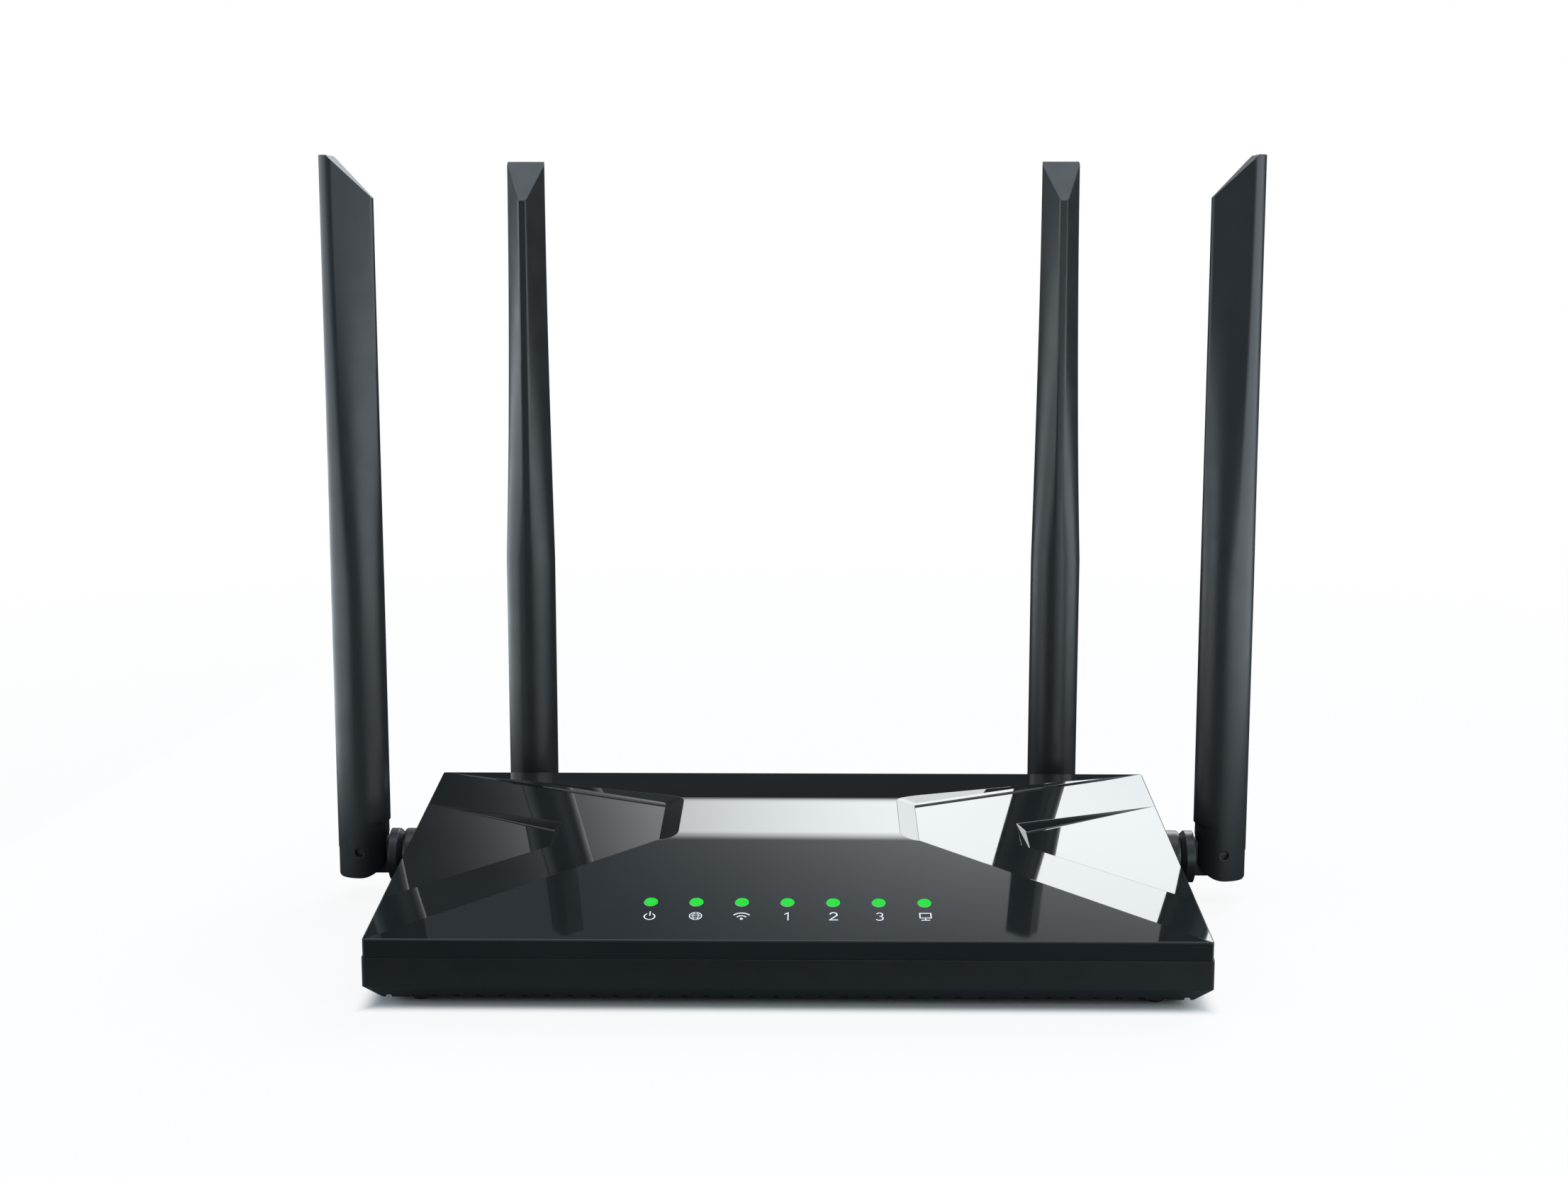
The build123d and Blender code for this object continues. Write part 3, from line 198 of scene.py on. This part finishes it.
def lit_guide():
    """Light pipe lit from below: bright green, slightly uneven."""
    nodes = material("lit_guide")
    place = nodes.add("ShaderNodeTexCoord", out="Object")
    cloud = nodes.smooth(nodes.noise(place, 900.0), *COLOUR_SPAN)
    glow = nodes.blend(cloud, (0.008, 0.660, 0.030), (0.014, 0.720, 0.042))
    tint = nodes.blend(cloud, (0.002, 0.050, 0.006), (0.003, 0.070, 0.008))
    shader = nodes.add("ShaderNodeBsdfPrincipled", Base_Color=tint, Roughness=0.5, Specular_IOR_Level=0.05,
                       Emission_Color=glow, Emission_Strength=1.0)
    finish_material(nodes, shader)


def white_print():
    """White screen print, slightly uneven."""
    nodes = material("white_print")
    place = nodes.add("ShaderNodeTexCoord", out="Object")
    cloud = nodes.smooth(nodes.noise(place, 2500.0), *COLOUR_SPAN)
    colour = nodes.blend(cloud, (0.92, 0.92, 0.92), (0.96, 0.96, 0.96))
    shader = nodes.add("ShaderNodeBsdfPrincipled", Base_Color=colour, Roughness=0.6)
    finish_material(nodes, shader)


plastic("gloss_cover", dark=(0.0098, 0.0120, 0.0136), light=(0.0118, 0.0140, 0.0156), rough=(0.020, 0.045),
        grain=4000.0, bump=(0.004, 0.00001), soften=0.0002)
plastic("case_plastic", dark=(0.0075, 0.0096, 0.0112), light=(0.0095, 0.0116, 0.0132), rough=(0.40, 0.50),
        grain=5200.0, bump=(0.10, 0.00004), soften=0.0003, Specular_IOR_Level=0.35)
plastic("antenna_plastic", dark=(0.0150, 0.0176, 0.0196), light=(0.0180, 0.0206, 0.0226), rough=(0.33, 0.40),
        grain=5200.0, bump=(0.10, 0.00004), soften=0.0003)
plastic("rubber", dark=(0.012, 0.012, 0.012), light=(0.020, 0.020, 0.020), rough=(0.70, 0.85),
        grain=2600.0, bump=(0.3, 0.00008), soften=0.0002)
plastic("socket_plastic", dark=(0.016, 0.016, 0.017), light=(0.024, 0.024, 0.025), rough=(0.30, 0.45),
        grain=4200.0, bump=(0.08, 0.00003), soften=0.00015)
plastic("chip_plastic", dark=(0.018, 0.018, 0.018), light=(0.030, 0.030, 0.030), rough=(0.45, 0.65),
        grain=6000.0, bump=(0.15, 0.00003), soften=0.0001)
plastic("button_plastic", dark=(0.040, 0.042, 0.044), light=(0.052, 0.054, 0.056), rough=(0.35, 0.45),
        grain=5200.0, bump=(0.08, 0.00003), soften=0.00015)
plastic("lead_jacket", dark=(0.12, 0.12, 0.13), light=(0.17, 0.17, 0.18), rough=(0.35, 0.50),
        grain=3000.0, bump=(0.1, 0.00003), soften=0.0001)
plastic("lamp_chip", dark=(0.70, 0.70, 0.52), light=(0.82, 0.82, 0.66), rough=(0.15, 0.25),
        grain=3000.0, bump=(0.02, 0.00002), soften=0.0001)
metal("dark_steel", dark=(0.07, 0.07, 0.075), light=(0.13, 0.13, 0.14), rough=(0.28, 0.42),
      scratch=900.0, stretch=ALONG_X)
metal("steel", dark=(0.50, 0.51, 0.52), light=(0.66, 0.67, 0.68), rough=(0.18, 0.32),
      scratch=1400.0, stretch=ALONG_X)
metal("aluminium", dark=(0.62, 0.63, 0.64), light=(0.76, 0.77, 0.78), rough=(0.25, 0.40),
      scratch=1100.0, stretch=ALONG_Z)
metal("gilt_wire", dark=(0.70, 0.50, 0.20), light=(0.85, 0.66, 0.32), rough=(0.15, 0.28),
      scratch=1500.0, stretch=ALONG_X)
circuit_board()
lit_guide()
white_print()

for part in frame["record"]["subparts"]:
    mesh = frame["nodes"][part["node"]].data
    mesh.materials.clear()
    mesh.materials.append(LOOKS[part["material_slot"]])

# Antenna shells: the CAD casing's lower end, and above it one smooth form that goes from round to wedge.
# Sections are in millimetres: w along the hinge pin, u away from the case, z above the pin.
RADIUS = 6.4
SWELL = 0.3               # how far the ridge side stands out beyond the radius
CUT_Z = 5.0               # the CAD casing is kept below this height
FLAT_U = 6.05             # flat across the ridge side at the hinge
STEP_Z = 6.55             # the flat's upper end, where the ridge side steps out
STEP_RISE = 0.65
BORE_LIMIT = 5.0          # the rim of the bore for the radiator lies inside this radius
BORE_TOP_Z = 118.0
ROUND_Z = 68.0            # the taper starts here
TIP_Z = 171.65
TIP_DROP = 10.15          # how far the slanted tip falls towards the ridge
TIP_FLAT = 2.3            # level stretch at the back of the tip
TIP_BACK = 6.0
TIP_HALF = 4.85
TIP_CORNER = 3.2
RIDGE_U = 6.5
RIDGE_HALF = 1.2
RIDGE_EASE = 0.4
CORNER_ARC = (8.0, 70.0)  # the arc of the round section that becomes a back corner, in degrees
SUPPORT = 0.15            # an extra row of points this close to each ridge edge keeps it crisp
FLANK_SUPPORT = 0.01875   # the like on a flank, as a share of its width
FLANK_STEPS = 24
CORNER_STEPS = 10
BACK_STEPS = 4
STEP_RINGS = 5
TAPER_RINGS = 40
FOOT_GAP = 0.5            # the lowest ring stands this far above the cut
STEP_LEAD = 0.3           # a ring this far below the step
PLAIN_LEVELS = (7.65, 20.0, 36.0, 52.0)    # rings between the step and the taper
SHARP_ANGLE = radians(35.0)
WELD = 1e-6
ON_PLANE = 1e-7
QUARTER_TURNS = {"rear_left": 0, "rear_right": 0, "side_left": 1, "side_right": -1}


def mix(a, b, share):
    return tuple(p + (q - p) * share for p, q in zip(a, b))


def turn(angle, radius=RADIUS):
    return (radius * cos(radians(angle)), radius * sin(radians(angle)))


def on_round(w):
    """Point of the round section on the ridge side."""
    return (w, -sqrt(RADIUS ** 2 - w ** 2))


def section_pairs():
    """Points of the right half section, ridge to back, as pairs: on the round part and at the tip."""
    flat_half = RIDGE_HALF - RIDGE_EASE
    ridge = (RIDGE_HALF, RIDGE_EASE - RIDGE_U)
    crease = (TIP_HALF, TIP_BACK - TIP_CORNER)
    first, last = CORNER_ARC
    start = degrees(atan2(on_round(RIDGE_HALF)[1], RIDGE_HALF))
    pairs = [(on_round(w), (w, -RIDGE_U)) for w in (0.0, flat_half - SUPPORT, flat_half)]
    shares = [0.0, FLANK_SUPPORT] + [i / FLANK_STEPS for i in range(1, FLANK_STEPS + 1)]
    pairs += [(turn(start + (first - start) * t), mix(ridge, crease, t)) for t in shares]
    for i in range(1, CORNER_STEPS + 1):
        t = i / CORNER_STEPS
        w, u = turn(90.0 * t, TIP_CORNER)
        corner = (TIP_HALF - TIP_CORNER + w, TIP_BACK - TIP_CORNER + u)
        pairs.append((turn(first + (last - first) * t), corner))
    for i in range(1, BACK_STEPS + 1):
        t = i / BACK_STEPS
        pairs.append((turn(last + (90.0 - last) * t), ((TIP_HALF - TIP_CORNER) * (1 - t), TIP_BACK)))
    return pairs


def shell_ring(z):
    """Closed ring of (w, u) points at a height above the pin."""
    share = sin(pi / 2 * max(z - ROUND_Z, 0.0) / (TIP_Z - ROUND_Z))
    above = min(max(z - STEP_Z, 0.0), STEP_RISE)
    bulge = 1 + SWELL / RADIUS * above / STEP_RISE
    half = [mix((w, u if u > 0 else u * bulge), tip, share) for (w, u), tip in section_pairs()]
    if z < ROUND_Z:
        half = [(w, max(u, -FLAT_U - above)) for w, u in half]
    return half + [(-w, u) for w, u in reversed(half[1:-1])]


def ring_levels():
    """Heights of the rings, closer together at the step and along the taper."""
    step = [STEP_Z + STEP_RISE * i / STEP_RINGS for i in range(STEP_RINGS + 1)]
    taper = [ROUND_Z + (TIP_Z - ROUND_Z) * i / TAPER_RINGS for i in range(TAPER_RINGS + 1)]
    return [CUT_Z + FOOT_GAP, STEP_Z - STEP_LEAD, *step, *PLAIN_LEVELS, *taper]


def only_edges(items):
    return [item for item in items if isinstance(item, bmesh.types.BMEdge)]


def keep_lower_end(work, place):
    """Cuts off the CAD casing above the hinge. Returns the edges of the outer rim and of the bore's rim."""
    bmesh.ops.remove_doubles(work, verts=work.verts, dist=WELD)
    middle = place(0, 0, CUT_Z)
    cut = bmesh.ops.bisect_plane(work, geom=work.verts[:] + work.edges[:] + work.faces[:], dist=ON_PLANE,
                                 plane_co=middle, plane_no=(0, 0, 1), clear_outer=True)
    rim = only_edges(cut["geom_cut"])
    bore = [edge for edge in rim if (edge.verts[0].co - middle).length < BORE_LIMIT * MM]
    return [edge for edge in rim if edge not in bore], bore


def close_bore(work, bore):
    """Carries the bore up to its closed end."""
    raised = bmesh.ops.extrude_edge_only(work, edges=bore)["geom"]
    top = [item for item in raised if isinstance(item, bmesh.types.BMVert)]
    bmesh.ops.translate(work, verts=top, vec=(0, 0, (BORE_TOP_Z - CUT_Z) * MM))
    rim = [edge for edge in only_edges(raised) if all(v in top for v in edge.verts)]
    bmesh.ops.contextual_create(work, geom=rim)


def loft(work, place, outer):
    """Builds the smooth form on the lower end's outer rim. Returns its points."""
    rings = [[work.verts.new(place(w, u, z)) for w, u in shell_ring(z)] for z in ring_levels()]
    for low, high in zip(rings, rings[1:]):
        for i in range(len(low)):
            work.faces.new((low[i - 1], low[i], high[i], high[i - 1]))
    foot = [work.edges.get((rings[0][i - 1], rings[0][i])) for i in range(len(rings[0]))]
    bmesh.ops.bridge_loops(work, edges=outer + foot)
    work.faces.new(rings[-1])
    return {v for ring in rings for v in ring}


def slant_tip(work, place, points):
    """Cuts the tip off along its slant and closes it."""
    back = place(0, TIP_BACK - TIP_FLAT, TIP_Z)
    along = back - place(0, -RIDGE_U, TIP_Z - TIP_DROP)
    across = place(1, 0, 0) - place(0, 0, 0)
    out = along.cross(across).normalized()
    out = out if out.z > 0 else -out
    geom = [v for v in work.verts if v in points]
    geom += [item for item in work.edges[:] + work.faces[:] if all(v in points for v in item.verts)]
    cut = bmesh.ops.bisect_plane(work, geom=geom, dist=ON_PLANE,
                                 plane_co=back, plane_no=out, clear_outer=True)
    bmesh.ops.contextual_create(work, geom=only_edges(cut["geom_cut"]))


def shade_smooth(work):
    """Smooth shading, apart from the sharp edges."""
    bmesh.ops.recalc_face_normals(work, faces=work.faces)
    for face in work.faces:
        face.smooth = True
    for edge in work.edges:
        edge.smooth = len(edge.link_faces) == 2 and edge.calc_face_angle(0.0) < SHARP_ANGLE


def antenna_shell(side, pin, turned):
    """Visible shell of one antenna, standing for its CAD casing."""
    def place(w, u, z):
        x, y = {0: (w, u), 1: (-u, w), -1: (u, -w)}[turned]
        return Vector((x, y, z)) * MM + pin

    node = frame["nodes"]["antenna_casing_" + side]
    work = bmesh.new()
    work.from_mesh(node.data)
    outer, bore = keep_lower_end(work, place)
    close_bore(work, bore)
    points = loft(work, place, outer)
    slant_tip(work, place, points)
    shade_smooth(work)
    mesh = bpy.data.meshes.new("antenna_shell_" + side)
    work.to_mesh(mesh)
    work.free()
    if "custom_normal" in mesh.attributes:
        mesh.attributes.remove(mesh.attributes["custom_normal"])
    mesh.materials.clear()
    mesh.materials.append(LOOKS["antenna_plastic"])
    shell = bpy.data.objects.new(mesh.name, mesh)
    scene.collection.objects.link(shell)
    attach(shell, "antenna_" + side)
    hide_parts(node.name)


for joint in frame["record"]["behaviour"]["joints"]:
    if joint["name"].startswith("tilt_"):
        side = joint["name"][len("tilt_"):]
        antenna_shell(side, Vector(joint["pos_m"]), QUARTER_TURNS[side])


# Printed signs in front of the lamps, drawn as strokes in the plane of the front slope, in millimetres
FRONT_Y = -66.65
FRONT_Z = 15.6
SLOPE_TOP_Z = 27.7
SLOPE_DEPTH = 37.8
SLOPE = atan((SLOPE_TOP_Z - FRONT_Z) / SLOPE_DEPTH)
SIGN_RUN = 9.24           # from the front edge up the slope to the middle of a sign
SIGN_LIFT = 0.02
LAMP_PITCH = 10.0
LINE = 0.27
BOLD = 0.33
GLOBE_RIM = 0.20
GLOBE_LINE = 0.15
ROUND = 20                # steps of an arc, and points of a disc
CAP_STEP = 20             # degrees between the points of a round end
OVAL_STEP = 15            # degrees between the points of an oval
MITRE_LIMIT = 0.5


def arc(cx, cy, radius, start, end, steps=ROUND):
    angles = [radians(start + (end - start) * i / steps) for i in range(steps + 1)]
    return [(cx + radius * cos(a), cy + radius * sin(a)) for a in angles]


def oval(half_width, half_height):
    angles = [radians(a) for a in range(0, 360, OVAL_STEP)]
    return [(half_width * cos(a), half_height * sin(a)) for a in angles]


def disc(cx, cy, radius):
    ring = arc(cx, cy, radius, 0, 360 - 360 / ROUND, ROUND - 1)
    return [Vector(p) for p in ring], [tuple(range(ROUND))]


def left_of(direction):
    return Vector((-direction.y, direction.x))


def stroke(points, width=LINE, closed=False):
    """Flat ribbon along a line of points. An open one has round ends."""
    line = [Vector(p) for p in points]
    if closed:
        line = line + [line[0]]
    half = width / 2
    verts, faces = [], []
    for i, point in enumerate(line):
        before = line[i - 1] if i else (line[-2] if closed else point)
        after = line[i + 1] if i < len(line) - 1 else (line[1] if closed else point)
        inward = point - before
        onward = after - point
        inward = inward.normalized() if inward.length else onward.normalized()
        onward = onward.normalized() if onward.length else inward
        normal = left_of(inward + onward).normalized()
        reach = half / max(normal.dot(left_of(onward)), MITRE_LIMIT)
        verts += [point + normal * reach, point - normal * reach]
        if i:
            faces.append((2 * i - 2, 2 * i - 1, 2 * i + 1, 2 * i))
    if not closed:
        for end, inner in ((line[0], line[1]), (line[-1], line[-2])):
            out = (end - inner).normalized()
            angles = [radians(a) for a in range(0, 181, CAP_STEP)]
            faces.append(tuple(range(len(verts), len(verts) + len(angles))))
            verts += [end + left_of(out) * half * cos(a) + out * half * sin(a) for a in angles]
    return verts, faces


def globe():
    """Round sign with an oval of two meridians, and three parallels."""
    shapes = [stroke(oval(1.35, 1.35), GLOBE_RIM, True), stroke(oval(0.60, 1.35), GLOBE_LINE, True)]
    for height, half in ((0.0, 1.3), (0.72, 1.08), (-0.72, 1.08)):
        shapes.append(stroke([(-half, height), (half, height)], GLOBE_LINE))
    return shapes


def place_sign(name, x, shapes):
    run = Vector((0, cos(SLOPE), sin(SLOPE)))
    up = Vector((0, -sin(SLOPE), cos(SLOPE)))
    origin = Vector((x, FRONT_Y, FRONT_Z)) + run * SIGN_RUN + up * SIGN_LIFT
    verts, faces = [], []
    for points, polygons in shapes:
        first = len(verts)
        verts += [(origin + Vector((p.x, 0, 0)) + run * p.y) * MM for p in points]
        faces += [tuple(first + k for k in polygon) for polygon in polygons]
    mesh = bpy.data.meshes.new(name)
    mesh.from_pydata(verts, [], faces)
    mesh.materials.append(LOOKS["white_print"])
    sign = bpy.data.objects.new(name, mesh)
    scene.collection.objects.link(sign)
    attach(sign, "housing")


SCREEN_OUTLINE = [(-0.35, -0.45), (-1.2, -0.45), (-1.2, 1.3), (1.2, 1.3), (1.2, -0.45), (0.35, -0.45)]
SIGNS = {
    "sign_power": [stroke(arc(0, -0.25, 1.15, 125, 415)), stroke([(0.05, 0.15), (0.05, 1.55)])],
    "sign_globe": globe(),
    "sign_wireless": [stroke(arc(0, -1.15, 2.3, 44, 136), BOLD), stroke(arc(0, -1.15, 1.27, 44, 136), BOLD),
                      disc(0, -1.0, 0.36)],
    "sign_1": [stroke([(-0.62, 0.75), (0.12, 1.32), (0.12, -1.4)])],
    "sign_2": [stroke(arc(0, 0.68, 0.76, 165, -28) + [(-0.78, -1.3), (0.86, -1.3)], BOLD)],
    "sign_3": [stroke(arc(0.02, 0.72, 0.66, 150, -80, 14) + arc(0.0, -0.64, 0.76, 80, -150, 16))],
    "sign_local": [stroke(SCREEN_OUTLINE), stroke([(0.0, -0.35), (0.0, -1.2)]),
                   stroke([(-0.85, -1.3), (0.85, -1.3)])],
}
for i, (name, shapes) in enumerate(SIGNS.items()):
    place_sign(name, (i - len(SIGNS) // 2) * LAMP_PITCH, shapes)

# Pale floor: white for the camera, with the object's shadow on it and a painted shadow beneath the case, and
# mostly dark for light and gloss
FLOOR_HALF = 6.0
CASE_MIDDLE_Y = -0.011    # the case's outline on the floor
CASE_HALF_X = 0.088
CASE_HALF_Y = 0.052
SHADOW_REACH = 0.006      # the floor turns white over this distance from the outline
PAINTED_SHADOW_REACH = 0.008       # inside the outline the floor's colour turns into a painted shadow over this distance
# painted shadow: a dark floor colour beneath the case, where the case's shade falls
UNDER_PAINTED_SHADOW = (0.04, 0.04, 0.04)
UNDER_PALE = (0.80, 0.80, 0.80)
HAZE_SPAN = (0.15, 0.75)  # distances from the middle over which the last of the floor's shading goes
HAZE_WHITE = 0.88         # share of plain white up to the first of them
STRIP_FRONT = (-0.092, -0.078)    # the paler strip in front of the case fades in here, and out at the next
STRIP_BACK = (-0.05, -0.03)
STRIP_COLOUR = (0.42, 0.46, 0.49)
SHADE_SPAN = (-0.12, 0.10)        # the dark floor changes colour from front to back between these
SHADE_FRONT = (0.095, 0.110, 0.122)
SHADE_BACK = (0.010, 0.012, 0.013)
WHITE = (1.0, 1.0, 1.0, 1.0)


def floor_material():
    nodes = material("floor")
    place = nodes.add("ShaderNodeTexCoord", out="Object")
    axis = nodes.add("ShaderNodeSeparateXYZ", out=None, Vector=place).outputs
    aside = nodes.math("SUBTRACT", nodes.math("ABSOLUTE", axis["X"]), CASE_HALF_X)
    from_middle = nodes.math("SUBTRACT", axis["Y"], CASE_MIDDLE_Y)
    behind = nodes.math("SUBTRACT", nodes.math("ABSOLUTE", from_middle), CASE_HALF_Y)
    beside = nodes.math("MAXIMUM", aside, behind)
    distance = nodes.add("ShaderNodeVectorMath", out="Value", props={"operation": "LENGTH"}, i0=place)
    haze = nodes.smooth(distance, *HAZE_SPAN, HAZE_WHITE, 1.0)
    lift = nodes.math("MULTIPLY", nodes.smooth(beside, 0.0, SHADOW_REACH), haze)
    # painted shadow: the floor's colour goes dark inside the case's outline, pale outside it
    pale_with_painted_shadow = nodes.blend(nodes.smooth(beside, -PAINTED_SHADOW_REACH, 0.0), UNDER_PAINTED_SHADOW, UNDER_PALE)
    pale = nodes.add("ShaderNodeBsdfDiffuse", Color=pale_with_painted_shadow)
    white = nodes.add("ShaderNodeEmission", Color=WHITE, Strength=1.0)
    seen = nodes.add("ShaderNodeMixShader", Fac=lift, i1=pale, i2=white)
    fade_in = nodes.smooth(axis["Y"], *STRIP_FRONT)
    fade_out = nodes.smooth(axis["Y"], *STRIP_BACK, 1.0, 0.0)
    strip = nodes.math("MULTIPLY", fade_in, fade_out)
    shade = nodes.blend(nodes.smooth(axis["Y"], *SHADE_SPAN), SHADE_FRONT, SHADE_BACK)
    dark = nodes.add("ShaderNodeBsdfDiffuse", Color=nodes.blend(strip, shade, STRIP_COLOUR))
    finish_material(nodes, nodes.add("ShaderNodeMixShader", Fac=nodes.background_share(), i1=dark, i2=seen))


floor_material()
floor_mesh = bpy.data.meshes.new("floor")
corners = [(-FLOOR_HALF, -FLOOR_HALF, 0), (FLOOR_HALF, -FLOOR_HALF, 0),
           (FLOOR_HALF, FLOOR_HALF, 0), (-FLOOR_HALF, FLOOR_HALF, 0)]
floor_mesh.from_pydata(corners, [], [(0, 1, 2, 3)])
floor_mesh.materials.append(LOOKS["floor"])
floor = bpy.data.objects.new("floor", floor_mesh)
scene.collection.objects.link(floor)

# World: white for the camera. For light and gloss, a soft panel behind the object on dim surroundings.
# Each pair is where an edge of the panel fades, as an angle round from the back or up from level.
PANEL_LEFT = (radians(-14.0), radians(4.4))
PANEL_RIGHT = (radians(40.0), radians(75.0))
PANEL_LOW = (radians(10.5), radians(27.0))
PANEL_HIGH = (radians(38.0), radians(56.6))
PANEL_LEAN = -0.12        # the left edge moves by this share of the height
PANEL_SHIFT = radians(3.0)
PANEL_COLOUR = (0.958, 1.0, 1.028, 1.0)
PANEL_STRENGTH = 5.5
AIR_COLOUR = (0.84, 1.0, 1.13, 1.0)
AIR_SPAN = (radians(15.0), radians(55.0))    # heights over which the surroundings grow brighter
AIR_LOW = 0.010
AIR_HIGH = 0.290
FRONT_SPAN = (-0.6, 0.2)  # values of the direction's Y over which the brighter front fades
FRONT_STRENGTH = 0.27


def studio_world():
    world = bpy.data.worlds.new("studio")
    scene.world = world
    world.use_nodes = True
    nodes = Nodes(world.node_tree)
    direction = nodes.add("ShaderNodeTexCoord", out="Generated")
    axis = nodes.add("ShaderNodeSeparateXYZ", out=None, Vector=direction).outputs
    azimuth = nodes.math("ARCTAN2", axis["X"], axis["Y"])
    height = nodes.math("ARCSINE", axis["Z"])
    shifted = nodes.math("ADD", azimuth, nodes.math("MULTIPLY_ADD", height, PANEL_LEAN, PANEL_SHIFT))
    left = nodes.smooth(shifted, *PANEL_LEFT)
    right = nodes.smooth(azimuth, *PANEL_RIGHT, 1.0, 0.0)
    low = nodes.smooth(height, *PANEL_LOW)
    high = nodes.smooth(height, *PANEL_HIGH, 1.0, 0.0)
    wide = nodes.math("MULTIPLY", left, right)
    tall = nodes.math("MULTIPLY", low, high)
    panel = nodes.math("MULTIPLY", nodes.math("MULTIPLY", wide, tall), PANEL_STRENGTH)
    dim = nodes.smooth(height, *AIR_SPAN, AIR_LOW, AIR_HIGH)
    front = nodes.smooth(axis["Y"], *FRONT_SPAN, FRONT_STRENGTH, 0.0)
    bright = nodes.add("ShaderNodeBackground", Color=PANEL_COLOUR, Strength=panel)
    air = nodes.add("ShaderNodeBackground", Color=AIR_COLOUR, Strength=nodes.math("ADD", dim, front))
    studio = nodes.add("ShaderNodeAddShader", i0=bright, i1=air)
    white = nodes.add("ShaderNodeBackground", Color=WHITE, Strength=1.0)
    both = nodes.add("ShaderNodeMixShader", Fac=nodes.background_share(), i1=studio, i2=white)
    nodes.add("ShaderNodeOutputWorld", out=None, Surface=both)


studio_world()

# Soft lamps above and at both sides
LAMP_COLOUR = (0.90, 1.0, 1.07)


def softbox(name, place, target, width, tall, radiance):
    """Area lamp of a stated brightness, aimed at a point."""
    data = bpy.data.lights.new(name, "AREA")
    data.shape = "RECTANGLE"
    data.size = width
    data.size_y = tall
    data.energy = radiance * width * tall * pi
    data.color = LAMP_COLOUR
    lamp = bpy.data.objects.new(name, data)
    scene.collection.objects.link(lamp)
    lamp.location = place
    lamp.visible_camera = False
    aim(lamp, Vector(target) - Vector(place))


softbox("overhead", place=(0.0, 0.0, 1.6), target=(0, 0, 0), width=1.1, tall=1.1, radiance=2.2)
softbox("left_panel", place=(-0.54, 0.05, 0.2515), target=(0, 0, 0.947),
        width=0.62, tall=0.81, radiance=2.0)
softbox("right_panel", place=(0.494, -0.263, 0.2515), target=(0, 0, 0.95),
        width=0.70, tall=0.775, radiance=2.55)
